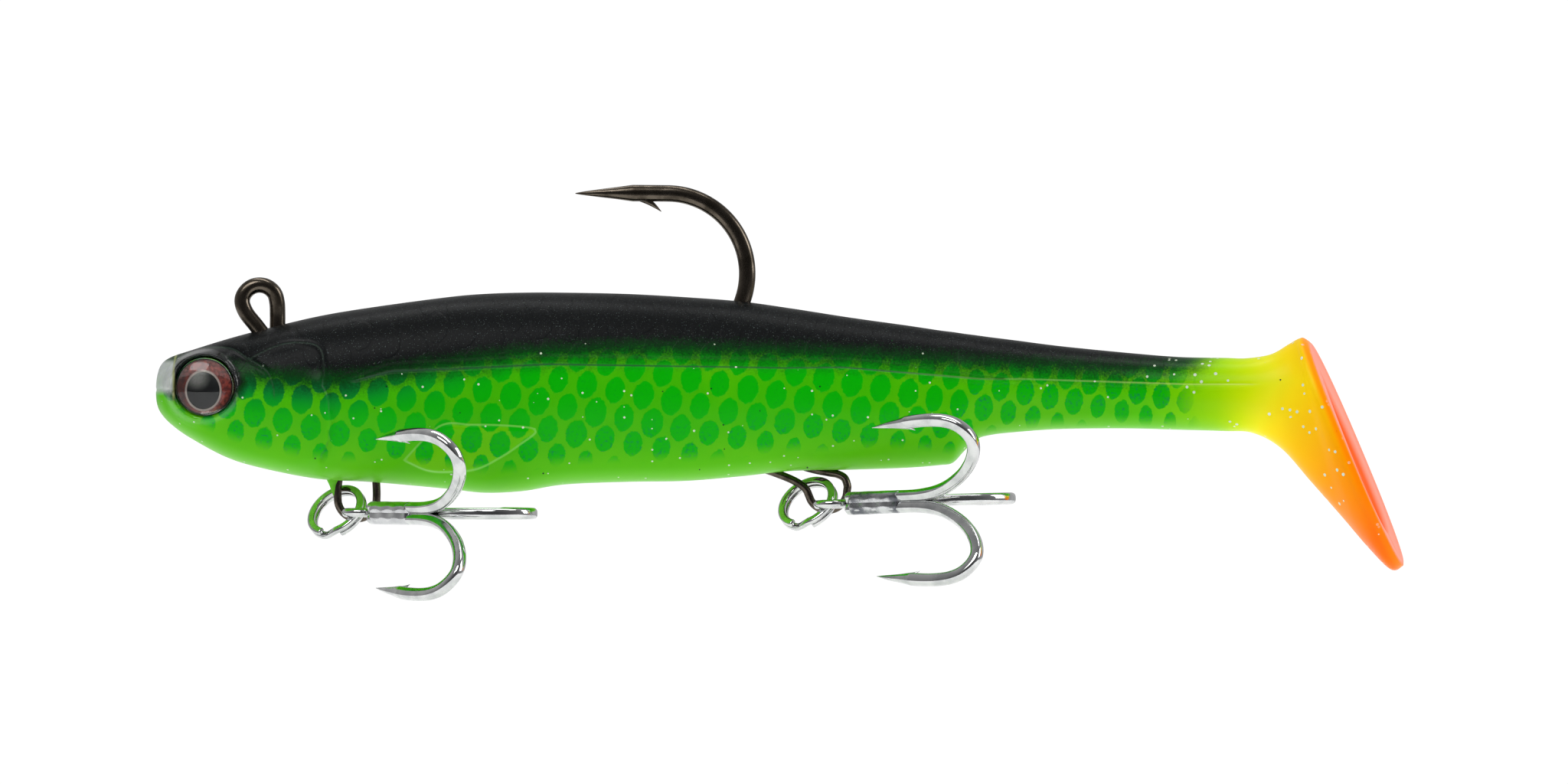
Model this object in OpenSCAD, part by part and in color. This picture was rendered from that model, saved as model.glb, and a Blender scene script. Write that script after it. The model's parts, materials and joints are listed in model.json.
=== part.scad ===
// Pre-rigged soft paddle-tail fishing lure: soft body, moulded-in single hook, two swinging trebles.
// Frame: origin at the centre of the line-tie eye, nose towards -X, tail towards +X, back up (+Z).

/* [Body] */
// Length from nose to paddle tip
body_length = 190; // [150:1:230]
// Greatest width of the trunk
body_width = 20; // [16:0.5:26]
// Width of the tail stem
stem_width = 10.6; // [8:0.2:13]
// Points round each body section
section_points = 32; // [20:2:44]

/* [Tail] */
// Hinge station that stands in for the bend of the soft stem
tail_pivot_x = 132; // [124:1:138]
// Small sideways set of the tail at rest
tail_set = 10; // [0:1:15]
// Width of the paddle
paddle_width = 18; // [14:0.5:22]
// Gap round the tail knuckle
tail_clearance = 0.3; // [0.2:0.05:0.6]

/* [Main hook] */
// Wire radius of the single hook
hook_wire_r = 1.2; // [0.9:0.05:1.5]
// Mean radius of the line-tie eye
tie_eye_r = 2.64; // [2.2:0.1:3.4]
// Mean radius of the hook bend
hook_bend_r = 12.2; // [10:0.2:14]
// Station of the bend centre
hook_bend_x = 62.1; // [56:0.5:68]
// Length of the point beyond the bend
hook_point_len = 14.2; // [10:0.2:18]
// Length of the moulded-in head weight
lead_len = 20; // [17:0.5:26]

/* [Hangers and rings] */
// Wire radius of both hangers
hanger_wire_r = 0.6; // [0.5:0.05:0.8]
// Mean radius of a hanger loop
hanger_loop_r = 2.95; // [2.7:0.05:3.55]
// Mean radius of a split ring
ring_r = 4.4; // [4.2:0.05:5.3]
// Radius of the ring's wire bundle
ring_wire_r = 0.62; // [0.45:0.01:0.65]

/* [Trebles] */
// Wire radius of a treble
treble_wire_r = 0.79; // [0.6:0.01:0.95]
// Mean radius of the treble eye
treble_eye_r = 2.1; // [2.05:0.05:2.4]
// Length from eye centre to the outside of the bend
treble_length = 29.3; // [24:0.5:33]
// Mean radius of each treble bend
treble_bend_r = 6.55; // [5.5:0.05:7.5]
// Sleeve length behind the eye
sleeve_len = 10; // [6:0.5:12]

/* [Eyes] */
// Radius of the printed eye disc
eye_foil_r = 4.15; // [3.4:0.05:4.6]
// Height of the clear dome
eye_dome_h = 1.3; // [0.8:0.1:1.8]

/* [Hidden] */
$fn = 48;
k = body_length / 190;              // profile scale
kw = body_width / 20;               // width scale of the trunk
nose_x = -15.75;                    // nose lies ahead of the line-tie eye
reach = 60;                         // longer than any section is high or wide
green = [0.25, 0.72, 0.08];
lime = [0.8, 0.85, 0.1];
dark = [0.2, 0.2, 0.2];
chrome = [0.75, 0.76, 0.78];

// Profile stations: [x, top, bottom, half width]; x and heights follow body_length, widths body_width.
function st(x, t, b, w) = [(x - nose_x) * k + nose_x, t * k, (x - nose_x) * k + nose_x, b * k, w * kw];
nose_st = [st(-15.75, -13.4, -13.9, 0.5), st(-15.55, -11.2, -15.6, 3.0), st(-14.9, -9.4, -17.0, 4.9),
           st(-13.4, -8.3, -18.6, 6.3), st(-10.6, -7.35, -20.6, 7.4), st(-5, -5.6, -23.6, 8.5)];
trunk_st = [st(0.6, -4.1, -25.3, 9.2), st(9, -2.1, -26.9, 9.7), st(17.4, -0.7, -27.4, 10),
            st(28.6, 0.8, -28.4, 10), st(34.2, 1.3, -29, 10), st(40.1, 1.5, -28.75, 9.9),
            st(46.5, 1.5, -27.75, 9.7), st(56, 1.3, -27.35, 9.3), st(65, 0.8, -27.2, 9),
            st(73.4, 0.15, -26.5, 8.6), st(81, -0.9, -25.7, 8.2), st(90, -2.3, -25.5, 7.6),
            st(98.6, -3.5, -25.2, 7), st(104.2, -4.3, -24.7, 6.6), st(107, -4.7, -22.9, 6.4),
            st(110, -5.15, -20.8, 6.2)];
sw = stem_width / 2 / kw;           // stem half width before the trunk's scale
stem_st = [st(115.4, -5.8, -19.75, sw * 1.11), st(122, -6.65, -19.3, sw * 1.05),
           st(tail_pivot_x, -7.65, -19.2, sw), st(140, -8.3, -19.4, sw), st(147, -8.45, -19.6, sw)];
pw = paddle_width / 2 / kw;         // paddle half width before the trunk's scale
// Slanted sections of the paddle: [top x, top z, bottom x, bottom z, half width].
function sl(xt, zt, xb, zb, w) = [(xt - nose_x) * k + nose_x, zt * k, (xb - nose_x) * k + nose_x, zb * k, w * kw];
paddle_st = [sl(150.5, -8.5, 151.5, -19.9, sw), sl(154.4, -7.9, 156, -22.7, sw * 1.03),
             sl(157.2, -6.4, 160.5, -27.6, sw * 1.12), sl(158.6, -5.7, 165.5, -32.9, pw * 0.78),
             sl(159.2, -5.5, 169.7, -37.4, pw * 0.95), sl(159.8, -5.4, 173.2, -40.6, pw),
             sl(160.6, -5.9, 175, -40, pw * 0.97)];

pivot = [(tail_pivot_x - nose_x) * k + nose_x, 0, 0];
knuckle_r = stem_width / 2;
end_cut = knuckle_r * 0.72;         // how far the cheeks stop short of the pivot
section_power = 2.25;               // 2 is an ellipse, more is squarer

// Smooth interpolation through a list of stations at a fractional index.
function at(p, i) = p[max(0, min(len(p) - 1, i))];
function cr(a, b, c, d, t) =
    0.5 * (2 * b + (c - a) * t + (2 * a - 5 * b + 4 * c - d) * t * t + (3 * b - a - 3 * c + d) * t * t * t);
function spline(p, u) = let (i = min(len(p) - 2, floor(u)), t = u - i)
    cr(at(p, i - 1), at(p, i), at(p, i + 1), at(p, i + 2), t);
function se(c, n) = sign(c) * pow(abs(c), 2 / n);
// One section as 3-D points: a squarish oval between its top and bottom points.
function ring_pts(s, m, n = section_power) = let (cx = (s[0] + s[2]) / 2, cz = (s[1] + s[3]) / 2,
    hx = (s[0] - s[2]) / 2, hz = (s[1] - s[3]) / 2)
    [for (j = [0 : m - 1]) let (a = 360 * j / m)
        [cx + hx * se(sin(a), n), s[4] * se(cos(a), n), cz + hz * se(sin(a), n)]];
// Closed skin through rings of m points each, with a flat cap at both ends.
module skin(rings, m) {
    n = len(rings);
    pts = [for (r = rings) for (q = r) q];
    sides = [for (i = [0 : n - 2]) for (j = [0 : m - 1]) let (b = (j + 1) % m)
        each [[i * m + j, (i + 1) * m + j, i * m + b], [i * m + b, (i + 1) * m + j, (i + 1) * m + b]]];
    caps = [[for (j = [0 : m - 1]) j], [for (j = [m - 1 : -1 : 0]) (n - 1) * m + j]];
    polyhedron(pts, concat(sides, caps), convexity = 6);
}
module loft(p, step, m) {
    last = len(p) - 1;
    skin([for (u = [0 : step : last + 0.001]) ring_pts(spline(p, min(u, last)), m)], m);
}

// Wire helpers drawn in the XY plane: an arc about c and a straight run from p at heading h.
module arc(c, r, a0, a1, w) {
    translate([c[0], c[1], 0]) rotate([0, 0, a0]) rotate_extrude(angle = a1 - a0) translate([r, 0]) circle(r = w, $fn = 24);
}
module run(p, h, l, w, w2 = -1) {
    translate([p[0], p[1], 0]) rotate([0, 0, h]) rotate([0, 90, 0]) cylinder(h = l, r1 = w, r2 = w2 < 0 ? w : w2, $fn = 24);
}
function pol(c, r, a) = [c[0] + r * cos(a), c[1] + r * sin(a)];
// Upright plane: local X stays X, local Y becomes Z.
module upright() rotate([90, 0, 0]) children();

// ---- soft body -------------------------------------------------------------
eye_x = -7.95 * k;
eye_z = -12.85 * k;
socket_y = 6.7 * kw;
foil_t = 0.4;                       // thickness of the printed disc
socket_r = eye_foil_r + 0.45;
// Upright cylinder about the tail hinge.
module knuckle(r) translate([pivot[0], 0, -reach]) cylinder(h = 2 * reach, r = r, $fn = 64);
module soft_body() color(green) difference() {
    loft(concat(nose_st, trunk_st, [for (i = [0 : 2]) stem_st[i]]), 0.5, section_points);
    knuckle(knuckle_r + tail_clearance);
    translate([pivot[0] - end_cut, -reach, -reach]) cube([reach, 2 * reach, 2 * reach]);
    for (s = [-1, 1]) eye_seat(s, 0) cylinder(h = body_width, r = socket_r);
}
module eye_seat(s, h0) translate([eye_x, s * (socket_y + h0), eye_z]) rotate([-90 * s, 0, 0]) children();
module foil(s) color([0.7, 0.15, 0.1]) eye_seat(s, 0) cylinder(h = foil_t, r = eye_foil_r);
dome_r = eye_foil_r + 0.25;
dome_sphere_r = (dome_r * dome_r + eye_dome_h * eye_dome_h) / (2 * eye_dome_h);
module dome(s) color([0.9, 0.9, 0.95, 0.4]) eye_seat(s, foil_t) intersection() {
    translate([0, 0, eye_dome_h - dome_sphere_r]) sphere(r = dome_sphere_r, $fn = 96);
    translate([-2 * dome_r, -2 * dome_r, 0]) cube(4 * dome_r);
}
module left_eye_foil() foil(-1);
module right_eye_foil() foil(1);
module left_eye_dome() dome(-1);
module right_eye_dome() dome(1);

// ---- tail ------------------------------------------------------------------
module set_tail() translate(pivot) rotate([0, 0, -tail_set]) translate(-pivot) children();
module stem_solid() intersection() {
    loft([for (i = [1 : 4]) stem_st[i]], 0.5, section_points);
    union() {
        knuckle(knuckle_r);
        translate([pivot[0], -reach, -reach]) cube(2 * reach);
    }
}
module tail_stem() color(lime) set_tail() stem_solid();
module tail_paddle() color([1, 0.6, 0.1]) set_tail()
    loft(concat([stem_st[4]], paddle_st), 0.5, section_points);

// ---- single hook with its line-tie eye ---------------------------------------
shank_z = -7.8 * k;
bend_c = [hook_bend_x, shank_z + hook_bend_r];
neck_r = 2.5;                       // bend where the eye leg turns into the shank
taper_share = 0.38;                 // share of the point that tapers to the tip
module barb(p, h, l, t) translate([p[0], p[1], -t / 2]) rotate([0, 0, h]) linear_extrude(t)
    polygon([[-l * 0.5, 0], [l, -l * 0.42], [l * 0.75, 0.2]]);
module jig_hook() color(dark) upright() {
    arc([0, 0], tie_eye_r, 0, 360, hook_wire_r);
    run([tie_eye_r, 0], -90, -shank_z - neck_r, hook_wire_r);
    arc([tie_eye_r + neck_r, shank_z + neck_r], neck_r, 180, 270, hook_wire_r);
    run([tie_eye_r + neck_r, shank_z], 0, bend_c[0] - tie_eye_r - neck_r, hook_wire_r);
    arc(bend_c, hook_bend_r, -90, 90, hook_wire_r);
    taper_x = bend_c[0] - hook_point_len * (1 - taper_share);
    run(pol(bend_c, hook_bend_r, 90), 180, bend_c[0] - taper_x, hook_wire_r);
    run([taper_x, bend_c[1] + hook_bend_r], 180, hook_point_len * taper_share, hook_wire_r, hook_wire_r / 10);
    barb([bend_c[0] - hook_point_len * 0.35, bend_c[1] + hook_bend_r - hook_wire_r * 0.8], 0, hook_wire_r * 3.5, 1);
}

// ---- how the rings lie -------------------------------------------------------
// The ring plane holds d (rising aft) and e (falling towards the left flank).
ring_rise = 35;
ring_lean = 50;
d_ax = [cos(ring_rise), 0, sin(ring_rise)];
e_ax = [sin(ring_rise) * cos(ring_lean), -sin(ring_lean), -cos(ring_rise) * cos(ring_lean)];
n_ax = cross(d_ax, e_ax);
ring_off = [-3, -1.3, -1.96] * ring_r / 4.4;   // ring centre from loop centre
ring_top = ring_off[2] + ring_r * sqrt(1 - n_ax[2] * n_ax[2]) + ring_wire_r;
front_belly = -27.35 * k;           // belly height above each loop
rear_belly = -26.07 * k;
belly_gap = 0.54;                   // between the belly and the top of a ring
function loop_c(x, belly) = [(x - nose_x) * k + nose_x, belly - belly_gap - ring_top];
front_h = loop_c(14.87, front_belly);
rear_h = loop_c(86.55, rear_belly);

// ---- head weight, hung round the front hanger and under the hook's shank --------
lead_front_r = 4.6;
lead_rear_r = 5.6;
lead_x = front_h[0] - 10.87;        // centre of its round front end
lead_z = shank_z - 5.2;
module lead_head() color([0.45, 0.45, 0.48]) translate([lead_x, 0, lead_z]) {
    sphere(r = lead_front_r);
    rotate([0, 90, 0]) cylinder(h = lead_len, r1 = lead_front_r, r2 = lead_rear_r);
}

// ---- hangers: bent wires whose loops hang below the belly ------------------------
module front_hanger_wire() color(dark) upright() {
    arc(front_h, hanger_loop_r, 180, 360, hanger_wire_r);
    for (s = [-1, 1])
        run([front_h[0] + s * hanger_loop_r, front_h[1]], 90, lead_z - front_h[1] - hanger_wire_r, hanger_wire_r);
}
turn_r = 1.5;                       // where a rear leg turns up into the weight
low_leg_r = 2.7;                    // turn from the loop into the lower rear leg
high_leg_r = 4.2;
leg_step = 3 * hanger_wire_r;       // between the two rear legs' turns
anchor_x = front_h[0] + hanger_loop_r + 2.18;
// A leg leaves its loop at x0, turns forward through r, runs inside the belly and turns up at xt.
module leg(x0, r, xt) {
    z = rear_h[1] + r;
    arc([x0 - r, rear_h[1]], r, 0, 90, hanger_wire_r);
    run([x0 - r, z], 180, x0 - r - xt - turn_r, hanger_wire_r);
    arc([xt + turn_r, z + turn_r], turn_r, 180, 270, hanger_wire_r);
    run([xt, z + turn_r], 90, lead_z - z - turn_r, hanger_wire_r);
}
module rear_hanger_wire() color(dark) upright() {
    arc(rear_h, hanger_loop_r, 180, 360, hanger_wire_r);
    leg(rear_h[0] - hanger_loop_r, low_leg_r, anchor_x);
    leg(rear_h[0] + hanger_loop_r, high_leg_r, anchor_x + leg_step);
}

// ---- split rings and trebles ----------------------------------------------------
eye_turn = 48;                      // where the treble eye sits round the ring
eye_wire_r = 0.7;
function up3(h) = [h[0], 0, h[1]];
function ring_c(h) = up3(h) + ring_off;
function eye_c(h) = ring_c(h) + ring_r * (cos(eye_turn) * d_ax + sin(eye_turn) * e_ax);
module split_ring(h) color(chrome) translate(ring_c(h)) rotate([0, acos(n_ax[2]), atan2(n_ax[1], n_ax[0])])
    rotate_extrude($fn = 64) translate([ring_r, 0]) circle(r = ring_wire_r, $fn = 24);
shank_gap = 0.02;
pack_r = treble_wire_r * 2 / sqrt(3) + shank_gap;   // three shanks lie round the axis
tb_c = [treble_length - treble_wire_r - treble_bend_r, pack_r + treble_bend_r];
tip_turn = 96;
// One hook in its own plane: X along the shank, Y outwards, tapering to its point.
point_len = 10.2;
taper_len = 3.6;
function hook_path(s0) = let (tip = pol(tb_c, treble_bend_r, tip_turn), h = tip_turn + 90)
    concat([for (t = [0 : 0.25 : 0.99]) [s0 + (tb_c[0] - s0) * t, pack_r, 0, treble_wire_r]],
        [for (a = [-90 : 9 : tip_turn - 1]) [tb_c[0] + treble_bend_r * cos(a), tb_c[1] + treble_bend_r * sin(a), a + 90, treble_wire_r]],
        [for (l = [0, 3, point_len - taper_len, point_len - taper_len / 2, point_len])
            [tip[0] + l * cos(h), tip[1] + l * sin(h), h,
             max(0.08, treble_wire_r * min(1, 0.08 + 0.92 * (point_len - l) / taper_len))]]);
module hook_arm(s0) {
    m = 12;
    skin([for (q = hook_path(s0)) [for (j = [0 : m - 1]) let (b = 360 * j / m)
        [q[0] - q[3] * cos(b) * sin(q[2]), q[1] + q[3] * cos(b) * cos(q[2]), q[3] * sin(b)]]], m);
    barb(pol(pol(tb_c, treble_bend_r, tip_turn), 5.2, tip_turn + 90) + [0, -treble_wire_r * 0.7], tip_turn - 90, 2.4, 0.7);
}
module on_eye(h, yaw) translate(eye_c(h)) rotate([0, 0, -yaw]) children();
module eye_hook(h, yaw) color(chrome) on_eye(h, yaw) {
    rotate_extrude($fn = 48) translate([treble_eye_r, 0]) circle(r = eye_wire_r, $fn = 24);
    hook_arm(treble_eye_r - 0.2);
}
sleeve_s = treble_eye_r + eye_wire_r + 0.2;
shank_back = 0.3;                    // the double hook's shanks start inside the sleeve
sleeve_wall = 0.14;                  // braze outside the shanks
pair_gap = pack_r * sqrt(3);         // between the double hook's two shanks
// Cross weld that makes the double hook one piece inside the sleeve.
module weld() translate([sleeve_s + sleeve_len / 2, -pack_r / 2, -pair_gap / 2]) cylinder(h = pair_gap, r = treble_wire_r * 0.45, $fn = 24);
module double_hook(h, yaw) color(chrome) on_eye(h, yaw) {
    for (a = [120, 240]) rotate([a, 0, 0]) hook_arm(sleeve_s + shank_back);
    weld();
}
module braze(h, yaw) color([0.62, 0.62, 0.64]) on_eye(h, yaw) difference() {
    translate([sleeve_s, 0, 0]) rotate([0, 90, 0]) cylinder(h = sleeve_len, r = pack_r + treble_wire_r + sleeve_wall);
    for (a = [0, 120, 240]) rotate([a, 0, 0])
        translate([a == 0 ? 0 : sleeve_s + shank_back, pack_r, 0]) rotate([0, 90, 0])
            cylinder(h = treble_length, r = treble_wire_r, $fn = 24);
    weld();
}
spread = 60 * (kw - 1);             // degrees; a wider trunk pushes the trebles further out
front_yaw = 48 + spread;
rear_yaw = 30 + spread;
module front_split_ring() split_ring(front_h);
module rear_split_ring() split_ring(rear_h);
module front_treble_eye_hook() eye_hook(front_h, front_yaw);
module front_treble_double_hook() double_hook(front_h, front_yaw);
module front_treble_braze() braze(front_h, front_yaw);
module rear_treble_eye_hook() eye_hook(rear_h, rear_yaw);
module rear_treble_double_hook() double_hook(rear_h, rear_yaw);
module rear_treble_braze() braze(rear_h, rear_yaw);

soft_body();
lead_head();
jig_hook();
front_hanger_wire();
rear_hanger_wire();
left_eye_foil();
left_eye_dome();
right_eye_foil();
right_eye_dome();
tail_stem();
tail_paddle();
front_split_ring();
front_treble_eye_hook();
front_treble_double_hook();
front_treble_braze();
rear_split_ring();
rear_treble_eye_hook();
rear_treble_double_hook();
rear_treble_braze();
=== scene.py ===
"""Looks of a pre-rigged soft paddle-tail lure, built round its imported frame.

Lengths in the classes are millimetres in the frame's own axes: the origin is the centre of
the line-tie eye, the nose points to -X, the back is up. Meshes are turned into metres last.
"""

import json
import logging
import math
from dataclasses import dataclass, field
from enum import Enum
from typing import Sequence

import bpy
import numpy as np
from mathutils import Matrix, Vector


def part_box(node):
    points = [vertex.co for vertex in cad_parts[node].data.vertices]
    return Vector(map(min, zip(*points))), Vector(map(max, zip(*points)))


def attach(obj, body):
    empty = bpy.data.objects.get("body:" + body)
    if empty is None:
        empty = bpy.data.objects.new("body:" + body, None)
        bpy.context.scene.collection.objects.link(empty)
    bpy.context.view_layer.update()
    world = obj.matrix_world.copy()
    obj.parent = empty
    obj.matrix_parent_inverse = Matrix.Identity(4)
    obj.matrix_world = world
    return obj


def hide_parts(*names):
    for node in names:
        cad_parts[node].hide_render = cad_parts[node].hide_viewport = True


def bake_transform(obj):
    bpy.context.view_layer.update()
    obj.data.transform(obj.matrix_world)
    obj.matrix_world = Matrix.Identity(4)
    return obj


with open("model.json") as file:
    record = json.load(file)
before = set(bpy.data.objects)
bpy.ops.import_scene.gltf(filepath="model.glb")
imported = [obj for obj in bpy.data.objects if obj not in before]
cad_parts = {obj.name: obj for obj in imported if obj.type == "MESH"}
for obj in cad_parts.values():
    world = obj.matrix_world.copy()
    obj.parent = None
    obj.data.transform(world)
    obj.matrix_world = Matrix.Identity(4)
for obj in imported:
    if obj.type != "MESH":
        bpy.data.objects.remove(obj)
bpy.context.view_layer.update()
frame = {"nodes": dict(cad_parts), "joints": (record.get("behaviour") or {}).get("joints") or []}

MM = 0.001
LIP_AHEAD = 0.25  # the lip round the eye lies this far ahead of the disc's middle
LOG = logging.getLogger("lure")

Array = np.ndarray
Colour = tuple[int, int, int]
Socket = bpy.types.NodeSocket
Node = bpy.types.Node


class Rig(Enum):
    """The two treble rigs under the belly."""

    FRONT = "front"
    REAR = "rear"


class Side(Enum):
    """The two flanks, by the sign of Y."""

    LEFT = -1
    RIGHT = 1


class Finish(Enum):
    """The finishes that pieces share."""

    SOFT = "soft_green"
    DARK_WIRE = "dark_steel"
    BRIGHT_WIRE = "bright_steel"
    SOLDER = "braze"
    PRINT = "eye_print"
    RESIN = "clear_resin"
    LEAD = "lead"


# ---- small geometry helpers ----------------------------------------------------------


def ease(t: Array) -> Array:
    """Smooth step of a value from 0 to 1, flat outside."""
    t = np.clip(t, 0.0, 1.0)
    return t * t * (3.0 - 2.0 * t)


def spline(points: Array, u: Array) -> Array:
    """Samples a Catmull-Rom curve.

    Args:
        points: control points, one row each.
        u: fractional row numbers.

    Returns:
        One row for each value of u.
    """
    last = len(points) - 1
    i = np.clip(np.floor(u).astype(int), 0, last - 1)
    t = (u - i)[:, None]
    a, b, c, d = (points[np.clip(i + k, 0, last)] for k in (-1, 0, 1, 2))
    return 0.5 * (2 * b + (c - a) * t + (2 * a - 5 * b + 4 * c - d) * t**2 + (3 * b - a - 3 * c + d) * t**3)


def smooth_path(points: Sequence[Sequence[float]], step: float) -> Array:
    """Draws a smooth curve through points and spaces it evenly.

    Args:
        points: control points; extra columns, such as a radius, go along.
        step: distance between samples.

    Returns:
        The samples, with the same columns as the control points.
    """
    control = np.array(points, float)
    fine = spline(control, np.linspace(0, len(control) - 1, 40 * len(control)))
    run = np.concatenate([[0], np.cumsum(np.linalg.norm(np.diff(fine[:, :3], axis=0), axis=1))])
    at = np.linspace(0, run[-1], max(4, int(run[-1] / step)))
    return np.stack([np.interp(at, run, fine[:, k]) for k in range(fine.shape[1])], axis=1)


def polyline_distance(x: Array, z: Array, line: Sequence[tuple[float, float]]) -> Array:
    """Distance from points to an open line in the side plane.

    Args:
        x: stations of the points.
        z: heights of the points.
        line: the line's corners.

    Returns:
        The distance of each point.
    """
    best = np.full(x.shape, 1e9)
    for (x0, z0), (x1, z1) in zip(line[:-1], line[1:]):
        dx, dz = x1 - x0, z1 - z0
        t = np.clip(((x - x0) * dx + (z - z0) * dz) / (dx * dx + dz * dz), 0, 1)
        best = np.minimum(best, np.hypot(x - x0 - t * dx, z - z0 - t * dz))
    return best


def inside(x: Array, z: Array, loop: Sequence[tuple[float, float]]) -> Array:
    """Finds which points lie inside a closed loop in the side plane.

    Args:
        x: stations of the points.
        z: heights of the points.
        loop: the loop's corners, the first one not repeated.

    Returns:
        True for each point inside.
    """
    hit = np.zeros(x.shape, bool)
    for (x0, z0), (x1, z1) in zip(loop, list(loop[1:]) + [loop[0]]):
        if z0 != z1:
            hit ^= ((z0 > z) != (z1 > z)) & (x < (x1 - x0) * (z - z0) / (z1 - z0) + x0)
    return hit


def make_object(name: str, points: Array, faces: Sequence[Sequence[int]]) -> bpy.types.Object:
    """Makes a smooth-shaded mesh object.

    Args:
        name: the piece's name.
        points: corners in millimetres.
        faces: corner numbers of each face.

    Returns:
        The new object, linked to the scene.
    """
    mesh = bpy.data.meshes.new(name)
    mesh.from_pydata((np.asarray(points) * MM).tolist(), [], faces)
    mesh.polygons.foreach_set("use_smooth", [True] * len(mesh.polygons))
    mesh.update()
    piece = bpy.data.objects.new(name, mesh)
    bpy.context.scene.collection.objects.link(piece)
    return piece


def grid_faces(rings: int, around: int) -> list[list[int]]:
    """Joins consecutive closed rings with quads.

    Args:
        rings: number of rings.
        around: number of points in each.

    Returns:
        Corner numbers of each quad.
    """
    i, j = np.meshgrid(np.arange(rings - 1), np.arange(around), indexing="ij")
    k = (j + 1) % around
    quads = [i * around + j, i * around + k, (i + 1) * around + k, (i + 1) * around + j]
    return np.stack(quads, -1).reshape(-1, 4).tolist()


def tube_faces(rings: int, around: int) -> list[list[int]]:
    """Joins consecutive closed rings with quads and closes both ends.

    Args:
        rings: number of rings.
        around: number of points in each.

    Returns:
        Corner numbers of each face, the two end faces last.
    """
    last = (rings - 1) * around
    ends = [list(range(around))[::-1], list(range(last, last + around))]
    return grid_faces(rings, around) + ends


def lobe(angle: Array, power: float) -> tuple[Array, Array]:
    """Unit superellipse of that power at each angle."""
    c, s = np.cos(angle), np.sin(angle)
    return np.sign(c) * np.abs(c) ** (2 / power), np.sign(s) * np.abs(s) ** (2 / power)


def middle_of(node: str) -> tuple[float, float]:
    """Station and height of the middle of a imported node."""
    low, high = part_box(node)
    return (low.x + high.x) / 2 / MM, (low.z + high.z) / 2 / MM


def joint_frame(name: str) -> tuple[Array, Array]:
    """A joint's place and its unit axis, from the frame."""
    found = next(j for j in frame["joints"] if j["name"] == name)
    return np.array(found["pos_m"]) / MM, np.array(found["axis"], float) / np.linalg.norm(found["axis"])


@dataclass
class Wire:
    """A bent wire with a section that may change along it.

    Attributes:
        path: centre line, one row for each ring.
        wide: half width in the plane of the bend.
        thick: half width across that plane.
        normal: direction across the plane of the bend.
        power: 2 for a round section, more for a squarer one.
        sides: points round the wire.
        closed: whether the end joins the start.
    """

    path: Array
    wide: Array
    thick: Array
    normal: Sequence[float]
    power: float = 2.0
    sides: int = 28
    closed: bool = False

    def frames(self) -> tuple[Array, Array, Array]:
        """Finds the directions that a ring is laid out in.

        Returns:
            Tangent, in-plane and across directions at each ring.
        """
        if self.closed:
            tangent = np.roll(self.path, -1, axis=0) - np.roll(self.path, 1, axis=0)
        else:
            tangent = np.gradient(self.path, axis=0)
        tangent /= np.linalg.norm(tangent, axis=1)[:, None]
        normal = np.array(self.normal, float)
        across = normal[None] - (tangent @ normal)[:, None] * tangent
        across /= np.linalg.norm(across, axis=1)[:, None]
        return tangent, np.cross(across, tangent), across

    def build(self, name: str) -> bpy.types.Object:
        """Makes the wire's mesh, with rounded ends on an open wire.

        Args:
            name: the piece's name.

        Returns:
            The new object.
        """
        tangent, flat, across = self.frames()
        n = len(self.path)
        wide = np.broadcast_to(np.asarray(self.wide, float), (n,))
        thick = np.broadcast_to(np.asarray(self.thick, float), (n,))
        a = np.linspace(0, 2 * np.pi, self.sides, endpoint=False)
        u, v = lobe(a, self.power)
        rows: list[Array] = []
        for i in range(n):
            rows.append(self.path[i] + wide[i] * u[:, None] * flat[i] + thick[i] * v[:, None] * across[i])
        if self.closed:
            return make_object(name, np.concatenate(rows + [rows[0]]), grid_faces(n + 1, self.sides))
        turn = np.radians([80, 62, 40, 18])
        head = [self._round(rows[0], self.path[0], -tangent[0], thick[0], t) for t in turn]
        foot = [self._round(rows[-1], self.path[-1], tangent[-1], thick[-1], t) for t in turn[::-1]]
        rings = head + rows + foot
        return make_object(name, np.concatenate(rings), tube_faces(len(rings), self.sides))

    @staticmethod
    def _round(ring: Array, centre: Array, out: Array, radius: float, turn: float) -> Array:
        """One ring of a rounded end, turned that far over."""
        return centre + (ring - centre) * math.cos(turn) + out * radius * 0.55 * math.sin(turn)


# ---- materials -----------------------------------------------------------------------


def linear(colour: Colour) -> tuple[float, float, float, float]:
    """Turns a display colour into linear light.

    Args:
        colour: red, green and blue from 0 to 255.

    Returns:
        Red, green, blue and full opacity from 0 to 1.
    """
    parts = [c / 255 for c in colour]
    red, green, blue = (p / 12.92 if p <= 0.04045 else ((p + 0.055) / 1.055) ** 2.4 for p in parts)
    return red, green, blue, 1.0


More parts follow.
